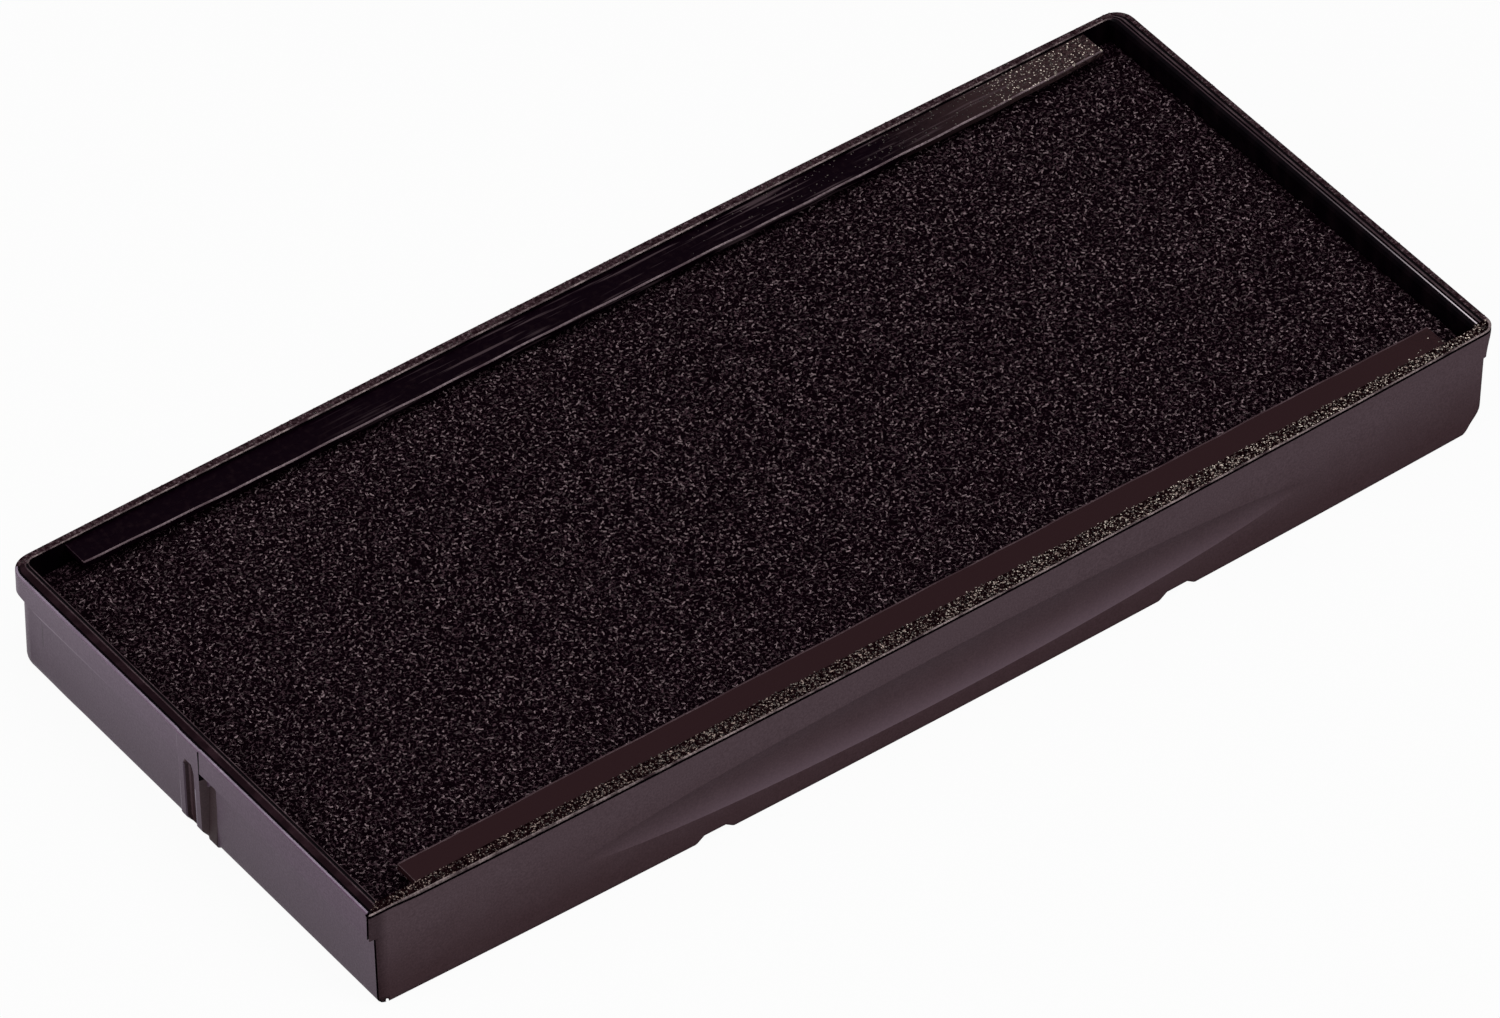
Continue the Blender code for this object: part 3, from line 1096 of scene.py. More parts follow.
@dataclass
class Tray:
    """The moulded tray, as one closed shell from its underside over the rim to its floor.

    Sizes are in metres, and the lists of heights and insets in millimetres. A ramp that is called
    a span says where along a wall a form sets in, and one that is called a turn says where on a
    corner, from 0 to 1.
    """

    length: float = 64.5 * MM
    width: float = 28.4 * MM
    height: float = 6.0 * MM
    bow: float = 0.4 * MM
    lip_bottom: float = 4.4 * MM
    lip_overhang: float = 0.38 * MM
    lip_slope: float = 0.2 * MM
    right_extra: float = 0.08 * MM
    right_overhang: float = 0.3 * MM
    end_draft: float = 0.12 * MM
    front_draft: float = 0.03 * MM
    rear_bow: float = 0.17 * MM
    lip_radii: Radii = corner_radii((0.3, 0.05), (0.73, 0.73), (1.05, 1.05), (1.15, 1.15))
    body_radii: Radii = corner_radii((0.5, 0.08), (0.83, 0.83), (1.2, 1.2), (1.2, 1.2))
    inner_radii: Radii = corner_radii((0.1, 0.1), (0.12, 0.12), (0.4, 0.4), (0.4, 0.4))
    foot_rounding: float = 0.35 * MM
    front_foot: float = 0.08 * MM
    corner_foot: float = 1.15 * MM
    far_foot: float = 0.65 * MM
    near_foot: float = 0.45 * MM
    near_cut: float = 0.45
    corner_spread: float = 0.55 * MM
    slant_from: float = 4.1 * MM
    slant_to: float = 5.5 * MM
    slant_end: float = 5.9 * MM
    slant_span: Ramp = Ramp(-11.5 * MM, -13 * MM)
    slant_turn: Ramp = Ramp(0, 0.5)
    front_turn: Ramp = Ramp(0.6, 1.0)
    far_foot_span: Ramp = Ramp(9.5 * MM, 13.5 * MM)
    far_foot_turn: Ramp = Ramp(0, 0.6)
    plumb_span: Ramp = Ramp(9 * MM, 13.5 * MM)
    plumb_turn: Ramp = Ramp(0, 0.3)
    climb: float = 0.2 * MM
    climb_span: Ramp = Ramp(-13 * MM, -2 * MM)
    late_climb: float = 0.3 * MM
    late_climb_span: Ramp = Ramp(11 * MM, 14.2 * MM)
    climb_below: float = 0.9 * MM
    climb_above: float = 0.35 * MM
    floor: float = 0.9 * MM
    cavity_half_length: float = 31.39 * MM
    cavity_front: float = 13.6 * MM
    cavity_rear: float = 13.8 * MM
    scoop_half_length: float = 20.75 * MM
    scoop_half_height: float = 1.5 * MM
    scoop_depth: float = 0.32 * MM
    scoop_z: float = 2.65 * MM
    scoop_fullness: float = 0.65
    scoop_tip: float = 0.04 * MM
    scoop_flare: float = 0.35
    notch_x: float = 13.3 * MM
    notch_half_width: float = 1.05 * MM
    notch_ramp: float = 0.45 * MM
    notch_height: float = 0.32 * MM
    notch_reach: float = 1.0 * MM
    rib: tuple[float, float] = (-1.05 * MM, 0.62 * MM)
    rib_rise: float = 0.03 * MM
    rib_tilt: float = 0.13 * MM
    rib_cut: float = 0.6 * MM
    rib_foot: float = 0.83 * MM
    groove: tuple[float, float] = (-0.55 * MM, 0.18 * MM)
    groove_top: float = 4.5 * MM
    groove_depth: float = 0.24 * MM
    groove_foot: float = 0.3 * MM
    wedge_side: float = -1.73 * MM
    wedge_top: float = 3.45 * MM
    wedge_climb: float = 0.5 * MM
    wedge_climb_width: float = 0.5 * MM
    wedge_corner: float = 0.3 * MM
    wedge_proud: float = 0.12 * MM
    wedge_sunk: float = 0.10 * MM
    relief_edge: float = 0.035 * MM
    relief_foot: Ramp = Ramp(0, 0.08 * MM)
    relief_top: float = 5.92 * MM
    painted_top: float = 5.87 * MM
    rib_light: tuple[tuple[float, float], float] = ((0.09 * MM, 0.02 * MM), 2.9 * MM)
    groove_light: tuple[tuple[float, float], float] = ((0.13 * MM, -0.02 * MM), 3.3 * MM)
    groove_shade: float = 0.14 * MM
    flank_half_width: float = 0.05 * MM
    rim_fade: Ramp = Ramp(0.45, 1.0)
    seat_middle: float = 0.3 * MM
    seat_half_length: float = 28.9 * MM
    seat_width: float = 0.6 * MM
    seat_slack: float = 0.01 * MM
    crease_width: float = 0.15 * MM
    crease_depth: float = 0.12 * MM
    crease_gap: float = 0.05 * MM
    line_depth: float = 0.07 * MM
    line_fall: float = 0.09 * MM
    line_fall_spans: tuple[Ramp, Ramp] = (Ramp(-8 * MM, -27 * MM), Ramp(-31.2 * MM, -29.5 * MM))
    line_band: tuple[float, float] = (5.65 * MM, 5.94 * MM)
    corner_steps: int = 9
    station_pivot: tuple[float, float] = (30 * MM, 12 * MM)
    station_end: tuple[float, float] = (30.8 * MM, 12.9 * MM)
    station_least: float = 0.03 * MM
    front_step: float = 0.42 * MM
    rear_step: float = 0.9 * MM
    end_step: float = 0.6 * MM
    notch_span: float = 1.3 * MM
    notch_step: float = 0.1 * MM
    relief_span: tuple[float, float] = (-1.97 * MM, 0.79 * MM)
    fine_step: float = 0.04 * MM
    scoop_steps: tuple[float, float] = (0.13 * MM, 0.1 * MM)
    foot_steps: int = 8
    lip_steps: int = 4
    underside_insets: tuple[float, ...] = (1.9, 1.04, 1.0)
    lip_heights: tuple[float, ...] = (4.45, 4.6, 4.85, 5.1, 5.35, 5.6)
    line_heights: tuple[float, float, float] = (5.785, 5.80, 5.92)
    cavity_heights: tuple[float, ...] = (5.7, 5.55, 5.4, 5.26, 5.22)
    seat_heights: tuple[float, ...] = (5.19, 4.9, 4.4, 3.4, 2.2, 1.0)
    rim_outside: int = 3
    station_gap: float = 0.02 * MM
    rim: dict[Side, tuple[RimStep, ...]] = field(default_factory=ridged_rim)

    def outline(self) -> list[Station]:
        """Every station round the tray, finer where the wall has relief.

        Returns:
            The stations, anticlockwise from above.
        """
        least, reach = self.station_least, self.notch_span
        x_end, y_end = self.station_end
        notches = [
            spaced(middle - reach, middle + reach, self.notch_step)
            for middle in (-self.notch_x, self.notch_x)
        ]
        seat_ends = [
            self.seat_middle + side * (self.seat_half_length + gap)
            for side in (-1, 1)
            for gap in (0, self.fine_step)
        ]
        front = merged([spaced(-x_end, x_end, self.front_step), *notches, seat_ends], least)
        rear = merged([spaced(-x_end, x_end, self.rear_step), seat_ends], least)
        right = spaced(-y_end, y_end, self.end_step)
        left = merged([right, spaced(*self.relief_span, self.fine_step)], least)
        sides = {Turn.FRONT: front, Turn.RIGHT: right, Turn.REAR: rear[::-1], Turn.LEFT: left[::-1]}
        found: list[Station] = []
        for turn in Turn:
            if turn in sides:
                found += [Station(turn, place) for place in sides[turn]]
                continue
            if turn is Turn.FRONT_LEFT:
                wide, deep = self.crease_width, self.crease_depth
                found += [Station(turn, -wide), Station(turn, -0.9 * wide, deep)]
                found.append(Station(turn, -0.1 * wide, deep))
            steps = self.corner_steps
            found += [Station(turn, i / steps) for i in range(steps + 1)]
        return found

    def outer_row(
        self, z: float, inset: float, lip: float, line: float = 0, zone: Zone | None = None
    ) -> Row:
        """A line round the outer walls.

        Args:
            z: Its height.
            inset: How far it is drawn in all round.
            lip: 1 where the end walls' lips stand out, and 0 below them.
            line: How far it is sunk on the front wall.
            zone: The finish of the front wall above it, where it isn't the wall's own.

        Returns:
            The row.
        """
        lean = self.end_draft * (1 - min(z, self.lip_bottom) / self.lip_bottom)
        left = self.length / 2 - self.lip_overhang * (1 - lip) - inset - lean
        right = self.length / 2 + self.right_extra - self.right_overhang * (1 - lip) - inset - lean
        inset_front = inset
        if inset <= self.foot_rounding:
            inset_front = inset * self.front_foot / self.foot_rounding
        front = self.width / 2 - inset_front - self.front_draft * (1 - z / self.height)
        rear = self.width / 2 - inset
        radii = tuple(
            tuple(max(b + (a - b) * lip - inset, b / 4) for b, a in zip(body, upper))
            for body, upper in zip(self.body_radii, self.lip_radii)
        )
        spread = self.corner_spread * clamp(1 - z / self.corner_foot) ** 2
        radii = (radii[0], tuple(radius + spread for radius in radii[1]), *radii[2:])
        zones = (Zone.END_WALL, zone or Zone.SIDE_WALL, Zone.END_WALL, Zone.SIDE_WALL)
        reach = (left, front - line, right, rear)
        return Row(reach, (z, z, z, z), radii, zones, self.bow, self.rear_bow, lip=lip)

    def inner_row(self, z: float, seat: float = 0.0) -> Row:
        """A line round the cavity's wall.

        Args:
            z: Its height.
            seat: How far the seats reach in along the long sides.

        Returns:
            The row.
        """
        half = self.cavity_half_length
        reach = (half, self.cavity_front, half, self.cavity_rear)
        zones = (Zone.INSIDE,) * 4
        return Row(reach, (z, z, z, z), self.inner_radii, zones, seat=seat, outside=False)

    def rim_rows(self) -> list[Row]:
        """The lines over the rim, with each side's ridges.

        Returns:
            The rows, from the outer edge to the cavity.
        """
        half, deep = self.length / 2, self.width / 2
        outer = (half, deep, half + self.right_extra, deep)
        rim_left, rim_rear = self.rim[Side.LEFT][-1].inset, self.rim[Side.REAR][-1].inset
        found = []
        for i in range(len(self.rim[Side.LEFT])):
            steps = [self.rim[side][i] for side in Side]
            share = clamp(steps[0].inset / rim_left)
            reach = tuple(far - step.inset for far, step in zip(outer, steps))
            radii = tuple(
                tuple(a + (b - a) * share for a, b in zip(wide, tight))
                for wide, tight in zip(self.lip_radii, self.inner_radii)
            )
            bow = self.bow * steps[Side.FRONT.value].bow_kept
            zones = tuple(step.zone for step in steps)
            heights = tuple(step.height for step in steps)
            rear_bow = self.rear_bow * (1 - steps[Side.REAR.value].inset / rim_rear)
            outside = i < self.rim_outside
            found.append(Row(reach, heights, radii, zones, bow, rear_bow, outside=outside))
        return found

    def rows(self) -> list[Row]:
        """Every line round the shell, from the middle of its underside to its floor.

        Returns:
            The rows, in order.
        """
        found = [self.outer_row(0, inset * MM, 0) for inset in self.underside_insets]
        foot, (below, beside) = self.foot_rounding, self.scoop_steps
        for i in range(self.foot_steps):
            angle = math.pi / 2 * i / self.foot_steps
            inset = foot * (1 - math.sin(angle))
            found.append(self.outer_row(foot * (1 - math.cos(angle)), inset, 0))
        low, high = self.scoop_z - self.scoop_half_height, self.scoop_z + self.scoop_half_height
        top = self.lip_bottom - self.lip_slope
        heights = spaced(foot, low, below)[:-1] + spaced(low, high, beside) + [top]
        found += [self.outer_row(z, 0, 0) for z in heights]
        for i in range(1, self.lip_steps + 1):
            angle = math.pi / 2 * i / self.lip_steps
            z = top + self.lip_slope * math.sin(angle) * 0.8
            found.append(self.outer_row(z, 0, 1 - math.cos(angle)))
        found += [self.outer_row(z * MM, 0, 1) for z in self.lip_heights]
        # The line under the front rim's edge is sunk and painted black as its shade.
        for z, depth in zip(self.line_heights, (0, self.line_depth, self.line_depth)):
            found.append(self.outer_row(z * MM, 0, 1, depth, Zone.INSIDE))
        found += self.rim_rows()
        found += [self.inner_row(z * MM) for z in self.cavity_heights]
        found += [self.inner_row(z * MM, self.seat_width) for z in self.seat_heights]
        found.append(self.inner_row(self.floor, self.seat_width))
        return found

    def scoop_span(self, x: float) -> float:
        """Half the finger scoop's height at x, and 0 past its tips."""
        share = clamp(1 - (x / self.scoop_half_length) ** 2)
        return self.scoop_half_height * share**self.scoop_fullness

    def front_point(self, row: Row, x: float, z: float, wall_y: float) -> Point:
        """A point of the front wall, sunk by the finger scoop and lifted by the notches.

        Args:
            row: The row that the point is on.
            x: Where it is along the wall.
            z: Its height before it follows the scoop's outline.
            wall_y: Where the bare wall lies there.

        Returns:
            The point.
        """
        full, foot, slack = self.scoop_half_height, self.foot_rounding, 1e-7
        past = max(0, abs(x) - self.scoop_half_length)
        span = min(max(self.scoop_span(x), self.scoop_tip) + past * self.scoop_flare, full)
        low, high = self.scoop_z - full, self.scoop_z + full
        sink = 0.0
        if row.outside and low - slack <= z <= high + slack:
            across = (z - self.scoop_z) / full
            z = self.scoop_z + across * span
            depth = self.scoop_depth * clamp(1 - (x / self.scoop_half_length) ** 2)
            sink = depth * (1 - across**2)
        elif row.outside and foot < z < low:
            z = foot + (z - foot) * (self.scoop_z - span - foot) / (low - foot)
        elif row.outside and high < z < self.lip_bottom:
            top = self.lip_bottom
            z = top + (z - top) * (top - self.scoop_z - span) / (top - high)
        elif row.outside and self.line_band[0] < z < self.line_band[1]:
            falling, ending = self.line_fall_spans
            z -= self.line_fall * falling.at(x) * ending.at(x)
        away = min(abs(x - self.notch_x), abs(x + self.notch_x))
        lift = clamp((self.notch_half_width - away) / self.notch_ramp) * self.notch_height
        near = -wall_y > self.width / 2 - self.notch_reach - self.front_draft
        lifted_below = self.height / 4
        if row.outside and z < lifted_below and near:
            z += lift * (1 - z / lifted_below)
        return x, wall_y + sink, z

    def soft_edge(self, inside: float) -> float:
        """0 outside an outline of the left wall's relief, 1 inside it, and between on its edge."""
        return smooth_step(-self.relief_edge, self.relief_edge, inside)

    def wedge_depth(self, y: float, z: float) -> float:
        """How far inside the wedge's outline a place on the left wall is.

        Args:
            y: The place along the wall.
            z: Its height.

        Returns:
            The distance to the outline, below 0 outside it.
        """
        corner, side = self.wedge_corner, self.wedge_side
        climb = clamp((self.rib[0] - y) / self.wedge_climb_width)
        top = self.wedge_top + self.wedge_climb * climb
        if y < side + corner and z > top - corner:
            return corner - math.hypot(side + corner - y, z - top + corner)
        return min(y - side, top - z)

    def groove_inside(self, y: float, z: float) -> float:
        """How far inside the groove's outline a place on the left wall is.

        Args:
            y: The place along the wall.
            z: Its height.

        Returns:
            The distance to the outline, below 0 outside it.
        """
        low, high = self.groove
        radius = (high - low) / 2
        above = z - (self.groove_top - radius)
        if above > 0:
            return radius - math.hypot(y - (low + high) / 2, above)
        return min(y - low, high - y)

    def end_relief(self, reach: float, y: float, z: float) -> float:
        """How far the left wall's rib, groove and wedge stand out, below 0 if sunk.

        Args:
            reach: How far out the bare wall is at that height.
            y: The place along the wall.
            z: Its height.

        Returns:
            The relief. The rib's face runs straight down from the lip, and ends above the foot.
        """
        low, high = self.rib
        slope = self.wedge_proud - (self.wedge_proud + self.wedge_sunk) * z / self.wedge_top
        relief = slope * self.soft_edge(self.wedge_depth(y, z)) * (y < (low + high) / 2)
        face = self.length / 2 + self.rib_rise - self.rib_tilt * (1 - z / self.height)
        face -= self.rib_cut * clamp(1 - z / self.rib_foot)
        relief += (face - reach - relief) * self.soft_edge(min(y - low, high - y))
        groove = self.groove_depth * self.soft_edge(self.groove_inside(y, z))
        relief -= groove * smooth_step(self.groove_foot, self.rib_foot, z)
        return relief * self.relief_foot.at(z)

    def rib_edge(self, row: Row, y: float) -> float:
        """How far the rib pushes one of the rim's lines out.

        Args:
            row: The line.
            y: The place along the left wall.

        Returns:
            The distance, which fades towards the cavity.
        """
        low, high = self.rib
        wall = self.length / 2 - self.cavity_half_length
        outwards = (row.reach[0] - self.cavity_half_length) / wall
        return self.rib_rise * self.soft_edge(min(y - low, high - y)) * self.rim_fade.at(outwards)

    def lifted(self, y: float, z: float) -> float:
        """A height on the left wall, where the lip's lower edge climbs towards the rear.

        Args:
            y: The place along the wall.
            z: The height without the climb.

        Returns:
            The height with it.
        """
        rise = self.climb * self.climb_span.at(y) + self.late_climb * self.late_climb_span.at(y)
        bottom = self.lip_bottom
        if z < bottom:
            return z + rise * smooth_step(bottom - self.climb_below, bottom, z)
        return z + rise * (1 - smooth_step(bottom, self.height - self.climb_above, z))

    def plumb(self, row: Row, y: float) -> float:
        """How far the left wall's lean is taken back towards its rear end.

        Args:
            row: The line round the shell.
            y: The place along the wall.

        Returns:
            The distance outwards.
        """
        if not row.outside or row.heights[0] >= self.lip_bottom:
            return 0.0
        lean = self.end_draft * (1 - row.heights[0] / self.lip_bottom)
        return lean * self.plumb_span.at(y)

    def near_right(self, row: Row, share: float) -> tuple[float, float]:
        """What the front right corner adds to a row: its lip fades down, and its foot is fuller.

        Args:
            row: The line round the shell.
            share: The place on the corner, from 0 to 1.

        Returns:
            How far the corner moves out at its end, and in all round.
        """
        z = row.heights[Side.RIGHT.value]
        slant = clamp((z - self.slant_from) / (self.slant_to - self.slant_from)) - row.lip
        inset = self.fuller(z, self.corner_foot) * math.sin(math.pi * share)
        return self.right_overhang * slant, inset

    def fuller(self, z: float, radius: float) -> float:
        """How much further in a rounder foot lies than the walls' own foot.

        Args:
            z: The height.
            radius: The rounder foot's radius.

        Returns:
            The distance inwards.
        """
        base, inset = self.foot_rounding, 0.0
        if z < radius:
            inset = radius - math.sqrt(radius**2 - (radius - z) ** 2)
        if z < base:
            inset -= base - math.sqrt(base**2 - (base - z) ** 2)
        return inset

    @staticmethod
    def squeezed(place: float, pivot: float, nominal: float, last: float) -> float:
        """Draws in the outer places on a side, so that its stations end where its corner starts.

        Args:
            place: The place on the side.
            pivot: Where the drawing in starts.
            nominal: The side's last station, before it is drawn in.
            last: Where that station has to lie.

        Returns:
            The place, unchanged inside the pivot.
        """
        size = abs(place)
        if size > pivot:
            size = pivot + (size - pivot) * (last - pivot) / (nominal - pivot)
        return math.copysign(size, place)

    def corner_point(self, row: Row, station: Station) -> Point:
        """Where a row crosses a station of one of the corners.

        Args:
            row: The line round the shell.
            station: The place on the corner.

        Returns:
            The point, with what its corner adds to the foot and the lip.
        """
        turn, place, height = station.turn, station.place, row.heights[0]
        number = turn.value // 2
        before, after = Side(number), Side((number + 1) % 4)
        end, side = (before, after) if number % 2 == 0 else (after, before)
        radii = row.radii[number]
        x_sign, y_sign = (-1 if end is Side.LEFT else 1), (-1 if side is Side.FRONT else 1)
        middle_x = x_sign * (row.reach[end.value] - radii[0])
        middle_y = y_sign * (row.reach[side.value] - radii[1])
        if place < 0:
            sunk = station.sunk if row.outside and height > 0 else 0
            return -row.reach[0] + sunk, middle_y - place, height
        if turn is Turn.FRONT_RIGHT and row.outside and height < self.slant_end:
            out, inset = self.near_right(row, place)
            middle_x += out * self.slant_turn.at(place)
            radii = drawn_in(radii, inset)
        if turn is Turn.FRONT_LEFT and row.outside and height < self.near_foot:
            bulge = math.sin(math.pi * clamp(0.1 + 0.8 * place))
            inset = self.near_cut * (self.near_foot - height) * bulge
            middle_x, middle_y = middle_x + inset, middle_y + inset
        if turn is Turn.REAR_LEFT and row.outside:
            middle_x -= self.plumb(row, self.width / 2) * self.plumb_turn.at(place)
            inset = self.fuller(height, self.far_foot) * self.far_foot_turn.at(place)
            radii = drawn_in(radii, inset)
        angle = math.pi * (1 + number / 2 + place / 2)
        ends = math.cos(angle) ** 2
        if side is Side.FRONT:
            ends = self.front_turn.at(ends)
        z = row.heights[end.value] * ends + row.heights[side.value] * (1 - ends)
        x, y = middle_x + radii[0] * math.cos(angle), middle_y + radii[1] * math.sin(angle)
        if end is Side.LEFT and row.outside:
            z += (self.lifted(y, z) - z) * ends
        return x, y, z

    def point(self, row: Row, station: Station) -> Point:
        """Where a row crosses a station.

        Args:
            row: The line round the shell.
            station: The place on the outline.

        Returns:
            The point, with the wall's relief.
        """
        side = SIDE_TURNS.get(station.turn)
        if side is None:
            return self.corner_point(row, station)
        if side in (Side.LEFT, Side.RIGHT):
            return self.end_point(row, side, station.place)
        left, front, right, rear = row.reach
        z = row.heights[side.value]
        corner = (0, 1) if side is Side.FRONT else (3, 2)
        at_left = station.place < 0
        end, number = (left, corner[0]) if at_left else (right, corner[1])
        last = end - row.radii[number][0] - self.station_gap
        x = self.squeezed(station.place, self.station_pivot[0], self.station_end[0], last)
        within = abs(x - self.seat_middle) <= self.seat_half_length + self.seat_slack
        seat = row.seat if within else 0
        share = clamp(1 - (x / (self.length / 2 - self.lip_radii[1][0])) ** 2)
        if side is Side.REAR:
            return x, rear - seat + row.rear_bow * share, z
        return self.front_point(row, x, z, seat - front - row.bow * share)

    def end_point(self, row: Row, side: Side, place: float) -> Point:
        """Where a row crosses a place on one of the end walls.

        Args:
            row: The line round the shell.
            side: The left or the right side.
            place: The place along it.

        Returns:
            The point, with the wall's relief.
        """
        left, front, right, rear = row.reach
        z, height = row.heights[side.value], row.heights[0]
        if place > 0:
            last = rear - row.radii[3 if side is Side.LEFT else 2][1] - self.station_gap
        elif side is Side.LEFT:
            last = front - row.radii[0][1] - self.crease_width - self.crease_gap
        else:
            last = front - row.radii[1][1] - self.station_gap
        y = self.squeezed(place, self.station_pivot[1], self.station_end[1], last)
        if side is Side.RIGHT:
            slanted = row.outside and height < self.slant_end
            slant = self.near_right(row, 1.0)[0] if slanted else 0
            return right + slant * self.slant_span.at(y), y, z
        if row.outside:
            z = self.lifted(y, z)
            foot = self.fuller(height, self.far_foot) * self.far_foot_span.at(y)
            left += self.plumb(row, y) - foot
        if left <= self.cavity_half_length or height <= 0:
            return -left, y, z
        if row.outside and height < self.relief_top:
            return -left - self.end_relief(left, y, z), y, z
        return -left - self.rib_edge(row, y), y, z

    def zone_of(self, row: Row, after: Row, station: Station, following: Station) -> Zone:
        """The finish of the face between two rows and two stations.

        Args:
            row: The line below the face.
            after: The line above it.
            station: The place before the face.
            following: The place after it.

        Returns:
            The finish.
        """
        side = SIDE_TURNS.get(station.turn)
        outside = row.outside and after.outside
        if outside and side is Side.LEFT and following.turn is Turn.LEFT:
            y, z = (station.place + following.place) / 2, (row.heights[0] + after.heights[0]) / 2
            if z < self.painted_top:
                return self.relief_zone(y, z)
        if side is not None:
            return row.zones[side.value]
        if station.place < 0:
            # The crease beside the front left corner is painted black as its shade.
            return Zone.INSIDE if row.outside else row.zones[0]
        if station.turn in (Turn.FRONT_LEFT, Turn.FRONT_RIGHT):
            return row.zones[Side.FRONT.value]
        first = station.turn.value // 2
        return row.zones[first if station.place < 0.5 else (first + 1) % 4]

    def relief_zone(self, y: float, z: float) -> Zone:
        """The finish of a place on the left wall.

        Args:
            y: The place along the wall.
            z: Its height.

        Returns:
            A lit ridge, the wedge, the rib's flank, the groove, or the wall.
        """
        low, high = self.rib
        edge, flank = self.groove[0], self.flank_half_width
        # The groove takes the side walls' finish, without the end wall's painted sheen, and is
        # painted black along its deep side as shade.
        if self.groove_inside(y, z) > 0:
            return Zone.INSIDE if y < edge + self.groove_shade else Zone.SIDE_WALL
        for ridge, (before, past), top in ((high, *self.rib_light), (edge, *self.groove_light)):
            if z < top and ridge - before < y < ridge + past:
                return Zone.HIGHLIGHT
        if y < low - flank and self.wedge_depth(y, z) > 0:
            return Zone.WEDGE
        # The rib's flank takes a paler copy of the wall as painted light, and above the wedge a
        # black line of painted shade.
        if abs(y - low) < flank:
            return Zone.FLANK if z < self.wedge_top + self.wedge_climb else Zone.INSIDE
        return Zone.END_WALL

    def mesh(self) -> bpy.types.Mesh:
        """The tray's mesh, in place.

        Returns:
            A closed mesh whose faces carry their finish and their share of the rim's grain.
        """
        rows, stations = self.rows(), self.outline()
        count = len(stations)
        points = [self.point(row, station) for row in rows for station in stations]
        faces = [tuple(range(count))[::-1]]
        zones, specks = [Zone.SIDE_WALL], [BARE]
        for i, row in enumerate(rows[:-1]):
            low, high = i * count, (i + 1) * count
            for j, station in enumerate(stations):
                k = (j + 1) % count
                faces.append((low + j, low + k, high + k, high + j))
                zone = self.zone_of(row, rows[i + 1], station, stations[k])
                zones.append(zone)
                specks.append(self.specks(zone, points[low + j][0] / MM))
        faces.append(tuple((len(rows) - 1) * count + j for j in range(count)))
        return faced_mesh("tray_shell", points, faces, [*zones, Zone.INSIDE], [*specks, BARE])

    @staticmethod
    def specks(zone: Zone, x: float) -> Specks:
        """The raised specks on one of the tray's finishes.

        Args:
            zone: The finish.
            x: The place along the tray, in millimetres.

        Returns:
            The specks, denser to the right on the front land, with painted glints brighter there.
        """
        if zone is Zone.FRONT_LAND:
            return 0.35 + 0.6 * smooth_step(-29, -16, x), 0.5 + 0.5 * smooth_step(-24, 20, x)
        return (0.3, 0.3) if zone is Zone.BROWN_LAND else BARE

    def build(self) -> None:
        """Makes the tray and the grain on its rim, dressed and riding on the body."""
        mesh = self.mesh()
        scoop = (self.scoop_z, self.scoop_half_height, self.scoop_half_length)
        # The finger scoop's painted highlight.
        scoop_highlight = ScoopHighlight(*(part / MM for part in scoop), self.scoop_fullness)
        finishes = (
            MouldedWall(
                "tray_end_wall", srgb(71, 46, 69), srgb(49, 22, 45), 0.34, marks=(EndWallMarks(),)
            ),
            MouldedWall(
                "tray_side_wall",
                srgb(86, 71, 77),
                srgb(68, 51, 55),
                0.0,
                roughness=0.6,
                high=4.6,
                # The scoop's painted highlight, and painted shade beside the front left corner.
                marks=(scoop_highlight, CornerShade(-32.2)),
            ),
            RoughLand(
                "tray_front_land", srgb(6, 1, 2), srgb(25, 13, 15), srgb(140, 124, 117), glints=0.59
            ),
            RoughLand("tray_brown_land", srgb(24, 12, 16), srgb(52, 38, 42), srgb(92, 78, 82)),
            InkedPlastic("tray_rim_band", srgb(16, 5, 9), srgb(34, 20, 25)),
            # Painted highlights: the front bead, the left wall's top edge and the fine lines on the
            # rim's ridges.
            EdgeHighlight("tray_bead", srgb(126, 112, 112), srgb(40, 27, 31), 0.7, 0.05),
            EdgeHighlight("tray_lit_edge", srgb(124, 112, 126), srgb(92, 80, 94), 1.5, 0.2),
            EdgeHighlight("tray_fine_line", srgb(66, 53, 57), srgb(34, 21, 26), 1.6, 0.06),
            # The inked cavity, and painted shade in the rim's grooves, the front left crease, the
            # line under the front rim and the rib's groove.
            InkedPlastic("tray_inked_inside_and_shade", srgb(3, 1, 3), srgb(10, 4, 7)),
            # The right rim's inner line: a painted highlight, brighter towards the front.
            EdgeHighlight(
                "tray_inner_line",
                srgb(46, 34, 39),
                srgb(38, 27, 31),
                2.0,
                0.02,
                front_pale=srgb(190, 180, 186),
                steady=0.8,
            ),
            MouldedWall("tray_wedge", srgb(66, 51, 56), srgb(54, 41, 44), 0.1, 0.6),
            # The rib's flank: a paler copy of the wall's colours, painted light against the shade
            # that falls on it.
            MouldedWall("tray_rib_flank", srgb(100, 83, 88), srgb(90, 74, 78), 0.1, 0.6),
        )
        for finish in finishes:
            mesh.materials.append(finish.material())
        shade(mesh, 12)
        place_piece("tray_shell", mesh, ["tray"])
        RoughGrain("rim_grain", density=46, size=0.042 * MM, seed=3).build(mesh, "tray_plastic")


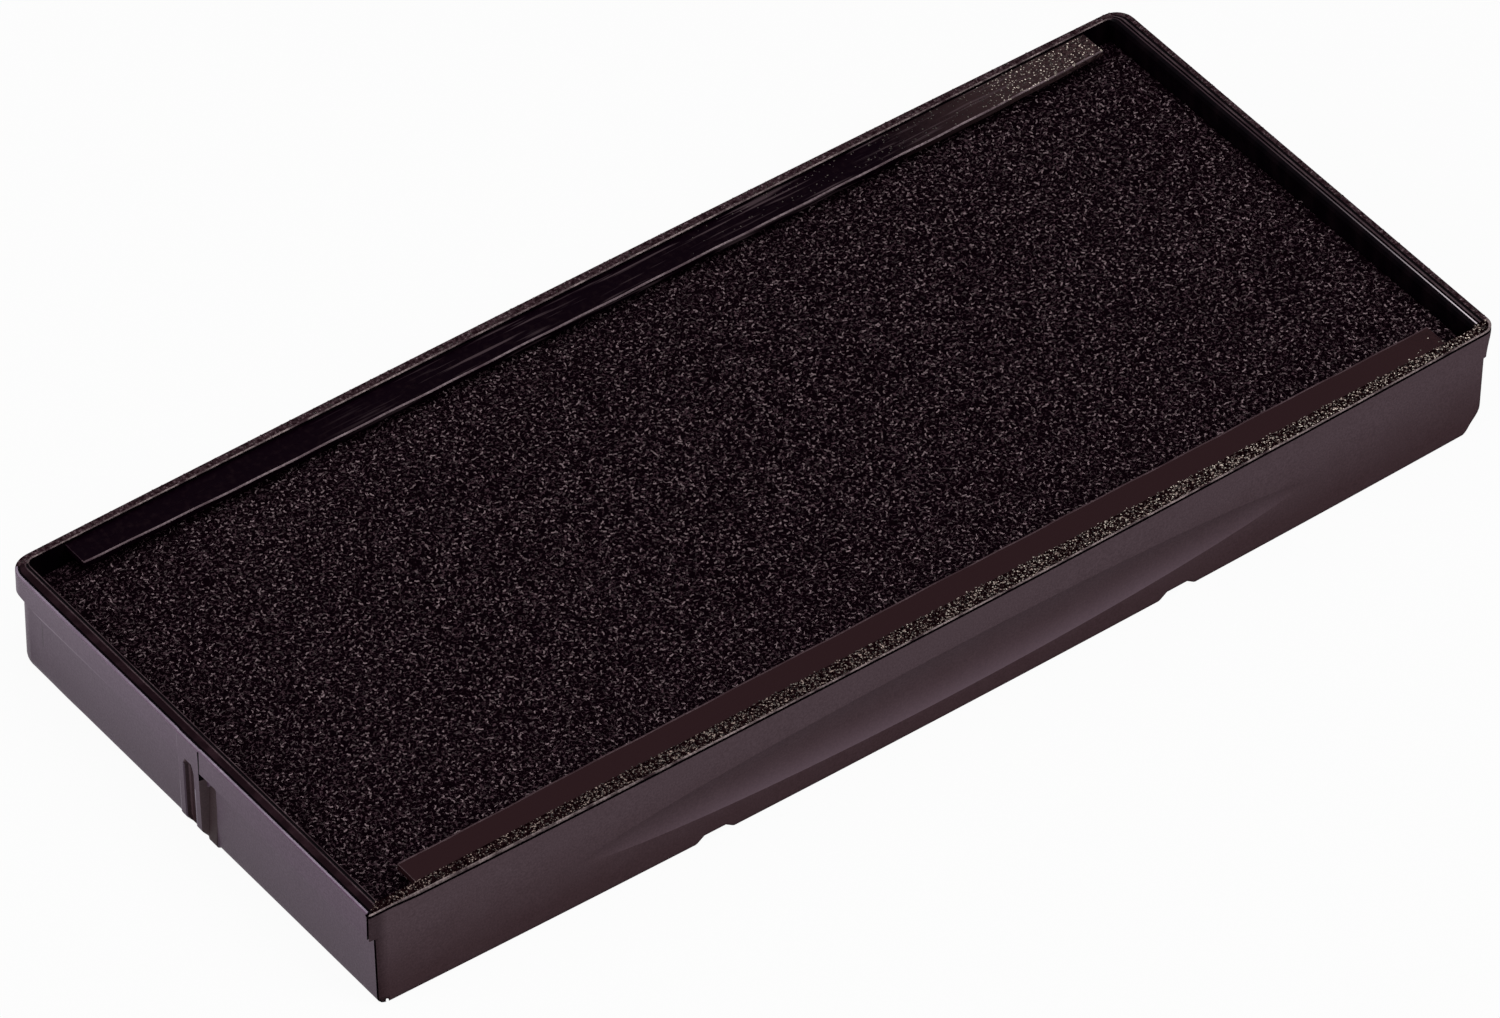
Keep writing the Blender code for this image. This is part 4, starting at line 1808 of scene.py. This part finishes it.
@dataclass
class RoughGrain:
    """Raised specks that are scattered over a host mesh where its faces are marked rough."""

    name: str
    density: float
    size: float
    seed: int
    flatness: float = 0.55

    def build(self, host: bpy.types.Mesh, slot: str) -> None:
        """Scatters the specks and places them as a piece.

        Args:
            host: The mesh, whose faces carry two numbers, rough and lit.
            slot: The record's material slot, which is not used.
        """
        tree = Grower(self.name)
        shape = tree.host()
        density = tree.size("Specks per square metre", self.density / MM**2)
        radius = tree.size("Speck radius", self.size)
        method = {"distribute_method": "RANDOM"}
        inputs = {"Mesh": shape, "Density": density * tree.read(ROUGH), "Seed": self.seed}
        points = tree.node("GeometryNodeDistributePointsOnFaces", method, inputs)
        turned = Wire(tree, points.socket.node.outputs["Rotation"])
        # Each speck's tone is scaled by its face's share of painted glint.
        points = tree.toned(points, "POINT", tree.random(0.0, 1.0, 4) * tree.read(LIT))
        ball_inputs = {"Radius": radius, "Subdivisions": 1}
        ball = tree.node("GeometryNodeMeshIcoSphere", None, ball_inputs)
        least = (0.5, 0.5, 0.5 * self.flatness)
        squeeze = tree.random(least, (1.5, 1.25, 1.2 * self.flatness), 1)
        inputs = {"Points": points, "Instance": ball, "Rotation": turned, "Scale": squeeze}
        specks = tree.node("GeometryNodeInstanceOnPoints", None, inputs)
        spin = tree.random((0.0, 0.0, 0.0), (0.0, 0.0, math.tau), 2)
        turn = {"Instances": specks, "Rotation": spin}
        specks = tree.node("GeometryNodeRotateInstances", None, turn)
        mesh = tree.grow(specks, grain_finish(f"{self.name}_finish").material(), host)
        mesh.shade_smooth()
        place_piece(self.name, mesh)


@dataclass(frozen=True)
class StripStep:
    """One step of a strip's section: its share of the width, its drop and the finish after it."""

    share: float
    drop: float
    zone: StripZone = StripZone.FACE


@dataclass
class RetainingStrip:
    """A thin strip that is welded along a long wall and holds the cloth's edge down."""

    name: str
    node: str
    side: int
    finish: SatinStrip
    edge: EdgeHighlight
    end: EdgeHighlight
    inner_bow: float
    patches: Callable[[float, float], Specks]
    grain_density: float
    wall: float = 13.7 * MM
    middle_y: float = 0.1 * MM
    thickness: float = 0.35 * MM
    line_share: float = 0.49
    line_sunk: float = 0.0
    edge_share: float = 0.94
    edge_rise: float = 0.012 * MM
    rounding: float = 0.03 * MM
    lower_rounding: float = 0.05 * MM
    top_drop: float = 0.02 * MM
    wave: float = 0.012 * MM
    column_step: float = 0.5 * MM

    def section(self) -> list[StripStep]:
        """The strip's section.

        Returns:
            The steps, from the wall over the face and the inner edge to the underside.
        """
        line, edge, thick = self.line_share, self.edge_share, self.thickness
        raised = -self.edge_rise
        face = [StripStep(share, 0.0) for share in (0.0, 0.12, 0.24, 0.36, line - 0.02)]
        face += [StripStep(line, self.line_sunk), StripStep(line + 0.02, 0.0)]
        face += [StripStep(share, 0.0) for share in (0.62, 0.74, 0.86)]
        # The inner edge takes the painted edge highlight.
        face.append(StripStep(edge, 0.0, StripZone.EDGE))
        face += [StripStep(share, raised, StripZone.EDGE) for share in (edge + 0.01, 0.985)]
        face.append(StripStep(1.0, self.rounding))
        under = [StripStep(1.0, thick - self.lower_rounding), StripStep(0.98, thick)]
        return [*face, *under, StripStep(0.5, thick), StripStep(0.0, thick)]

    def points(self, columns: Sequence[float], section: Sequence[StripStep]) -> list[Point]:
        """The strip's points, with its inner edge bowed and a little wavy.

        Args:
            columns: The places along the strip.
            section: The steps across it.

        Returns:
            The points, column by column.
        """
        low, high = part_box(self.node)
        inner = abs(low.y if self.side > 0 else high.y) - self.side * self.middle_y
        reach = self.wall - inner
        found: list[Point] = []
        for i, x in enumerate(columns):
            along = (x - (low.x + high.x) / 2) / (high.x - low.x) * 2
            bow = self.inner_bow * (1 - along**6)
            wave = self.wave * (math.sin(x / MM * 1.7) + math.sin(x / MM * 0.63 + 1))
            cut = self.rounding if i in (0, len(columns) - 1) else 0
            for step in section:
                wide = reach + bow + wave * step.share - cut
                y = self.middle_y + self.side * (self.wall - step.share * wide)
                drop = clamp(step.drop, cut, self.thickness - cut) if cut else step.drop
                found.append((x, y, high.z - drop))
        return found

    def build(self) -> None:
        """Makes the strip with its rough patches, dressed and riding on the body."""
        low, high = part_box(self.node)
        section, rounding = self.section(), self.rounding
        inside = spaced(low.x, high.x, self.column_step)[1:-1]
        columns = [low.x, low.x + rounding, *inside, high.x - rounding, high.x]
        count, last = len(section), len(columns) - 1
        faces, zones, specks = [], [], []
        for i in range(last):
            for j, step in enumerate(section):
                k = (j + 1) % count
                here, there = i * count, (i + 1) * count
                faces.append((here + j, here + k, there + k, there + j))
                ends = i in (0, last - 1) and step.drop < rounding
                # Ends by the inner edge, and all the front strip's ends, take the painted edge
                # highlight.
                bright = step.share > 0.85 or self.side < 0
                zones.append((StripZone.EDGE if bright else StripZone.END) if ends else step.zone)
                dense, lit = self.patches(columns[i] / MM, (step.share + section[k].share) / 2)
                specks.append((dense if step.drop <= self.top_drop and k else 0.0, lit))
        faces.append(tuple(range(count))[::-1])
        faces.append(tuple(last * count + j for j in range(count)))
        zones += [StripZone.FACE, StripZone.FACE]
        points = self.points(columns, section)
        mesh = faced_mesh(self.name, points, faces, zones, [*specks, BARE, BARE])
        self.outwards(mesh)
        for finish in (self.finish, self.edge, self.end):
            mesh.materials.append(finish.material())
        shade(mesh, 30)
        place_piece(self.name, mesh, [self.node])
        grain = RoughGrain(f"{self.name}_grain", self.grain_density, 0.045 * MM, 7 + self.side)
        grain.build(mesh, "strip_plastic")

    @staticmethod
    def outwards(mesh: bpy.types.Mesh) -> None:
        """Turns every face outwards.

        Args:
            mesh: A closed mesh.
        """
        shape = bmesh.new()
        shape.from_mesh(mesh)
        bmesh.ops.recalc_face_normals(shape, faces=shape.faces)
        shape.to_mesh(mesh)
        shape.free()


@dataclass
class CoverCloth:
    """The inked face: a crowned sheet that tucks under the strips, and its curly pile."""

    half_length: float = 31.32 * MM
    waist: float = 12.8 * MM
    ear: float = 13.5 * MM
    middle_y: float = 0.1 * MM
    waist_middle: float = 0.3 * MM
    waist_half_length: float = 29.1 * MM
    end_top: float = 4.7 * MM
    crown: float = 0.4 * MM
    side_fall: float = 0.25
    flatness: float = 6
    thickness: float = 0.45 * MM
    pile_density: float = 60 / MM**2
    pile_gap: float = 0.2 * MM
    pile_clear: float = 0.26 * MM
    fibre_radius: float = 0.04 * MM
    curl_radius: float = 0.092 * MM
    curl_sweeps: tuple[float, ...] = (1.2, 2.2, 3.2)
    curl_middle: float = 2.2
    tuck: float = 0.4 * MM
    grid: tuple[int, int] = (180, 80)

    def sheet(self) -> bpy.types.Mesh:
        """The sheet's mesh.

        Returns:
            A grid that is drawn in beside the seats, crowned and thickened.
        """
        tree = Grower("cover_cloth")
        long = tree.size("Half length", self.half_length)
        ear = tree.size("Ear", self.ear)
        waist = tree.size("Waist", self.waist)
        thick = tree.size("Thickness", self.thickness)
        crown = tree.size("Crown", self.crown)
        columns, rows = self.grid
        inputs = {"Size X": long * 2, "Size Y": ear * 2, "Vertices X": columns, "Vertices Y": rows}
        grid = tree.node("GeometryNodeMeshGrid", None, inputs)
        x, y, _ = tree.split(tree.node("GeometryNodeInputPosition"))
        beside = abs(x - self.waist_middle).maths("LESS_THAN", self.waist_half_length)
        outside = abs(y).maths("GREATER_THAN", waist) * beside
        inputs = {"Geometry": grid, "Selection": outside}
        grid = tree.node("GeometryNodeDeleteGeometry", {"domain": "FACE"}, inputs)
        x, y, _ = tree.split(tree.node("GeometryNodeInputPosition"))
        along = 1 - (abs(x) / long) ** self.flatness
        across = 1 - (y / ear) ** 2.0 * self.side_fall
        height = self.end_top + crown * along * across - thick
        place = tree.vector(x, y + self.middle_y, height)
        grid = tree.node("GeometryNodeSetPosition", None, {"Geometry": grid, "Position": place})
        inputs = {"Mesh": grid, "Offset": tree.vector(0, 0, 1), "Offset Scale": thick}
        inputs["Individual"] = False
        raised = tree.node("GeometryNodeExtrudeMesh", {"mode": "FACES"}, inputs)
        under = tree.node("GeometryNodeFlipFaces", None, {"Mesh": grid})
        both = tree.node("GeometryNodeJoinGeometry", None, {"Geometry": [raised, under]})
        inputs = {"Geometry": both, "Distance": HAIR}
        closed = tree.node("GeometryNodeMergeByDistance", None, inputs)
        mesh = tree.grow(closed, InkedCloth().material(), None)
        shade(mesh, 40)
        return mesh

    def pile(self, name: str, sheet: bpy.types.Mesh, seed: int, side: int) -> bpy.types.Mesh:
        """Half of the pile: short curled fibres that lie on the sheet's upper face.

        Args:
            name: The mesh's name.
            sheet: The mesh that they grow on.
            seed: What the places, sizes and tones are drawn from.
            side: -1 for the left half of the cloth, 1 for the right half.

        Returns:
            The fibres, as plain closed tubes.
        """
        tree = Grower(name)
        shape = tree.host()
        density = tree.size("Fibres per square metre", self.pile_density)
        gap = tree.size("Fibre gap", self.pile_gap)
        thick = tree.size("Fibre radius", self.fibre_radius)
        radius = tree.size("Curl radius", self.curl_radius)
        up = tree.split(tree.node("GeometryNodeInputNormal"))[2].over(0.7)
        x, y, _ = tree.split(tree.node("GeometryNodeInputPosition"))
        open_face = up * abs(y - self.middle_y).maths("LESS_THAN", self.waist - self.tuck)
        open_face *= abs(x).maths("LESS_THAN", self.half_length - self.pile_clear)
        open_face *= (x * side).over(0.0)
        inputs = {
            "Mesh": shape,
            "Distance Min": gap,
            "Density Max": density,
            "Density Factor": open_face,
            "Seed": seed,
        }
        method = {"distribute_method": "POISSON"}
        points = tree.node("GeometryNodeDistributePointsOnFaces", method, inputs)
        inputs = {"Resolution": 3, "Radius": thick}
        section = tree.node("GeometryNodeCurvePrimitiveCircle", None, inputs)
        kinds = []
        for sweep in self.curl_sweeps:
            wide = radius * (self.curl_middle / sweep)
            inputs = {"Resolution": 3, "Radius": wide, "Sweep Angle": sweep}
            arc = tree.node("GeometryNodeCurveArc", None, inputs)
            inputs = {"Curve": arc, "Profile Curve": section, "Fill Caps": True}
            kinds.append(tree.node("GeometryNodeCurveToMesh", None, inputs))
        choice = tree.node("GeometryNodeGeometryToInstance", None, {"Geometry": kinds})
        inputs = {
            "Points": points,
            "Instance": choice,
            "Pick Instance": True,
            "Rotation": tree.random((-0.35, -0.35, 0.0), (0.35, 0.35, math.tau), seed + 1),
            "Scale": tree.random((0.7, 0.7, 0.7), (1.3, 1.3, 1.3), seed + 2),
        }
        fibres = tree.node("GeometryNodeInstanceOnPoints", None, inputs)
        fibres = tree.toned(fibres, "INSTANCE", tree.random(0.0, 1.0, seed + 3))
        mesh = tree.grow(fibres, pile_finish(f"{name}_fibre").material(), sheet)
        mesh.shade_smooth()
        return mesh

    def build(self) -> None:
        sheet = self.sheet()
        cloth = place_piece("cover_cloth_face", sheet, ["cover_cloth"])
        for number, side in ((1, -1), (2, 1)):
            name = f"cover_cloth_pile_{number}"
            pile = self.pile(name, sheet, 10 * number, side)
            place_piece(name, pile)
        flat = (2 * self.half_length, 2 * self.ear)
        ears = 2 * self.waist_half_length * 2 * (self.ear - self.waist)
        area = flat[0] * flat[1] - ears


@dataclass
class InkLayer:
    """A hidden soft layer that fills its solid's space, with rounded sides."""

    name: str
    node: str
    slot: str
    finish: SoakedLayer
    fill: float
    rounding: float
    sharp: float = 50

    def mesh(self) -> bpy.types.Mesh:
        """The layer's mesh, raised from a plan that is drawn in beside the seats.

        Returns:
            A closed mesh that fills its solid's space.
        """
        low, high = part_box(self.node)
        cloth, step, least = CoverCloth(), 1.0 * MM, 0.05 * MM
        waist_left = cloth.waist_middle - cloth.waist_half_length
        waist_right = cloth.waist_middle + cloth.waist_half_length
        middle_y = (low.y + high.y) / 2
        ear, waist = high.y - middle_y, cloth.waist
        shape = bmesh.new()
        columns = merged([spaced(low.x, high.x, step), [waist_left, waist_right]], least)
        rows = merged([spaced(-waist, waist, step), [-ear, ear]], least)
        grid = [[shape.verts.new((x, y + middle_y, low.z)) for y in rows] for x in columns]
        for i in range(len(columns) - 1):
            beside = waist_left - HAIR <= columns[i] and columns[i + 1] <= waist_right + HAIR
            for j in range(len(rows) - 1):
                if beside and j in (0, len(rows) - 2):
                    continue
                corners = (grid[i][j], grid[i + 1][j], grid[i + 1][j + 1], grid[i][j + 1])
                shape.faces.new(corners)
        loose = [vertex for vertex in shape.verts if not vertex.link_faces]
        bmesh.ops.delete(shape, geom=loose, context="VERTS")
        raised = bmesh.ops.extrude_face_region(shape, geom=shape.faces[:], use_keep_orig=True)
        lifted = [item for item in raised["geom"] if isinstance(item, bmesh.types.BMVert)]
        bmesh.ops.translate(shape, vec=Vector((0, 0, high.z - low.z)), verts=lifted)
        bmesh.ops.recalc_face_normals(shape, faces=shape.faces)
        mesh = bpy.data.meshes.new(self.name)
        shape.to_mesh(mesh)
        shape.free()
        return mesh

    def build(self) -> None:
        mesh = self.mesh()
        mesh.materials.append(self.finish.material())
        shade(mesh, self.sharp)
        layer = place_piece(self.name, mesh, [self.node])
        bevel = layer.modifiers.new("soft_edges", "BEVEL")
        bevel.width, bevel.segments = self.rounding, 3
        bevel.limit_method, bevel.angle_limit = "ANGLE", math.radians(self.sharp)


# ------------------------------
# Studio
# ------------------------------


@dataclass
class Studio:
    """The camera, the soft lamps, the pale floor and the white surroundings."""

    target: Point = (0.916 * MM, 1.851 * MM, 0.0)
    azimuth: float = -36.94
    elevation: float = 43.15
    distance: float = 0.593
    focal_length: float = 306.46
    floor_size: float = 4.0
    floor_gap: float = 0.02 * MM
    floor_tone: float = 0.42
    sky: float = 0.22
    white_share: float = 0.95

    def back(self) -> Vector:
        """The direction from the object to the camera.

        Returns:
            The direction, one long.
        """
        turn, rise = math.radians(self.azimuth), math.radians(self.elevation)
        flat = math.cos(rise)
        return Vector((math.sin(turn) * flat, -math.cos(turn) * flat, math.sin(rise)))

    def camera(self) -> None:
        """Places the camera as the photograph was taken."""
        data = bpy.data.cameras.new("view")
        data.sensor_width, data.lens = 36.0, self.focal_length
        data.clip_start, data.clip_end = 0.01, 10.0
        camera = add_object("view", data)
        self.aim(camera, Vector(self.target) + self.back() * self.distance, -self.back())
        bpy.context.scene.camera = camera

    @staticmethod
    def aim(thing: bpy.types.Object, place: Vector, towards: Vector) -> None:
        """Puts a camera or lamp in place and turns it to a direction.

        Args:
            thing: The camera or lamp.
            place: Where it stands.
            towards: The direction that it points in.
        """
        thing.location = place
        thing.rotation_mode = "QUATERNION"
        thing.rotation_quaternion = towards.to_track_quat("-Z", "Y")

    def lamp(self, name: str, place: Point, size: float, power: float) -> None:
        """A square soft lamp that points at the object.

        Args:
            name: The lamp's name.
            place: Where it stands.
            size: The length of its sides.
            power: Its power, in watts.
        """
        data = bpy.data.lights.new(name, "AREA")
        data.shape, data.size, data.energy = "SQUARE", size, power
        self.aim(add_object(name, data), Vector(place), -Vector(place))

    def seen_straight(self, tree: NodeTree) -> Wire:
        """Tells the rays that show the background from all others.

        Args:
            tree: The tree that asks.

        Returns:
            1 for the camera's rays and those of gloss and glass, and 0 for others.
        """
        path = tree.node("ShaderNodeLightPath", None, None, "Is Camera Ray").socket.node
        total = Wire(tree, path.outputs["Is Camera Ray"])
        for name in ("Is Glossy Ray", "Is Transmission Ray"):
            total = total.maths("MAXIMUM", Wire(tree, path.outputs[name]))
        return total

    def world(self) -> None:
        """White surroundings for those rays, and a plain soft sky for all other light."""
        world = bpy.data.worlds.new("studio")
        world.use_nodes = True
        bpy.context.scene.world = world
        tree = NodeTree(world.node_tree)
        strength = self.sky + self.seen_straight(tree) * (1 - self.sky)
        sky = tree.node("ShaderNodeBackground", None, {"Color": (1, 1, 1, 1), "Strength": strength})
        tree.node("ShaderNodeOutputWorld", None, {"Surface": sky})

    def floor(self) -> None:
        """A pale floor that looks white and keeps a faint shadow of the object."""
        material = bpy.data.materials.new("floor")
        material.use_nodes = True
        tree = NodeTree(material.node_tree)
        pale = (self.floor_tone,) * 3
        matt = tree.node("ShaderNodeBsdfDiffuse", None, {"Color": (*pale, 1)})
        white = tree.node("ShaderNodeEmission", None, {"Color": (1, 1, 1, 1), "Strength": 1.0})
        share = self.seen_straight(tree) * self.white_share
        mixed = tree.node("ShaderNodeMixShader", None, {0: share, 1: matt, 2: white})
        tree.node("ShaderNodeOutputMaterial", None, {"Surface": mixed})
        shape = bmesh.new()
        bmesh.ops.create_grid(shape, x_segments=1, y_segments=1, size=self.floor_size / 2)
        mesh = bpy.data.meshes.new("floor")
        shape.to_mesh(mesh)
        shape.free()
        mesh.materials.append(material)
        floor = add_object("floor", mesh)
        floor.location = (0, 0, -self.floor_gap)

    def build(self) -> None:
        """Sets up everything round the object."""
        self.camera()
        self.world()
        self.floor()
        self.lamp("overhead", (-0.05, -0.15, 0.95), 0.5, 5.0)
        self.lamp("left", (-0.8, 0.15, 0.5), 0.5, 4.5)
        self.lamp("front", (0.3, -0.6, 0.7), 0.4, 5.0)
        bpy.context.scene.view_settings.view_transform = "Standard"


def rear_patches(x: float, share: float) -> Specks:
    """The rear strip's specks.

    Args:
        x: The place along the strip, in millimetres.
        share: The place across it, from 0 at the wall to 1.

    Returns:
        Specks in two streaks, and dense ones near the right end, with painted glints brighter
        there.
    """
    streaked = 1.0 if share < 0.2 or 0.5 < share < 0.72 else 0.15
    near_end = smooth_step(21.5, 25, x)
    dense = 0.35 * smooth_step(2, 20, x) * streaked + 0.75 * near_end
    return dense, 0.4 + 0.6 * near_end


def front_patches(x: float, share: float) -> Specks:
    """The front strip's specks.

    Args:
        x: The place along the strip, in millimetres.
        share: The place across it, from 0 at the wall to 1.

    Returns:
        Specks along its wall, and a few over its outer half at the right end.
    """
    outer = smooth_step(0.09, 0.05, share) * smooth_step(-24, -14, x)
    end = smooth_step(26, 29.5, x) * smooth_step(0.6, 0.2, share)
    # The specks' painted glints brighten towards the right end.
    return max(0.6 * outer, 0.5 * end), 0.5 + 0.5 * smooth_step(-24, 24, x)


def strips() -> list[RetainingStrip]:
    """The two retaining strips.

    Returns:
        The front one, and the rear one, which is darker, streaked and rough at its right end.
    """
    front = RetainingStrip(
        "front_strip",
        "front_retaining_strip",
        -1,
        SatinStrip("front_strip_plastic", srgb(31, 15, 18), srgb(33, 18, 20), 24, 32, 60),
        # Painted highlights on the strip's inner edge and, fainter, on its ends.
        EdgeHighlight("front_strip_edge", srgb(66, 51, 55), srgb(42, 27, 31), 1.4, 0.05),
        EdgeHighlight("front_strip_end", srgb(40, 26, 30), srgb(24, 12, 16), 1.0, 0.03),
        0.03 * MM,
        front_patches,
        26,
    )
    rear = RetainingStrip(
        "rear_strip",
        "rear_retaining_strip",
        1,
        SatinStrip(
            "rear_strip_plastic",
            srgb(5, 0, 4),
            srgb(54, 40, 41),
            rough_from=17,
            rough_to=29,
            streak_from=-16,
            streak=srgb(64, 52, 56),
            specular=0.01,
        ),
        # Painted highlights on the strip's inner edge and, fainter, on its ends.
        EdgeHighlight("rear_strip_edge", srgb(118, 104, 108), srgb(62, 48, 53), 2.0, 0.05),
        EdgeHighlight("rear_strip_end", srgb(48, 34, 42), srgb(20, 8, 15), 1.0, 0.03),
        0.19 * MM,
        rear_patches,
        44,
        line_sunk=0.02 * MM,
    )
    return [front, rear]


def main() -> None:
    """Builds every piece in order, and the studio round them."""
    logging.basicConfig(level=logging.INFO, format="%(message)s")
    for item in list(bpy.data.objects):
        if item.type in ("CAMERA", "LIGHT"):
            bpy.data.objects.remove(item)
    Studio().build()
    Tray().build()
    for strip in strips():
        strip.build()
    foam = SoakedLayer("ink_foam_cells", srgb(14, 11, 15), srgb(30, 26, 32), 0.35)
    InkLayer("foam_layer", "ink_reservoir_foam", "ink_foam", foam, 0.8, 0.15 * MM).build()
    felt = SoakedLayer("ink_felt_fibres", srgb(10, 8, 11), srgb(26, 22, 27), 0.12)
    InkLayer("felt_layer", "felt_pad", "ink_felt", felt, 0.9, 0.1 * MM).build()
    CoverCloth().build()


if __name__ == "__main__":
    main()
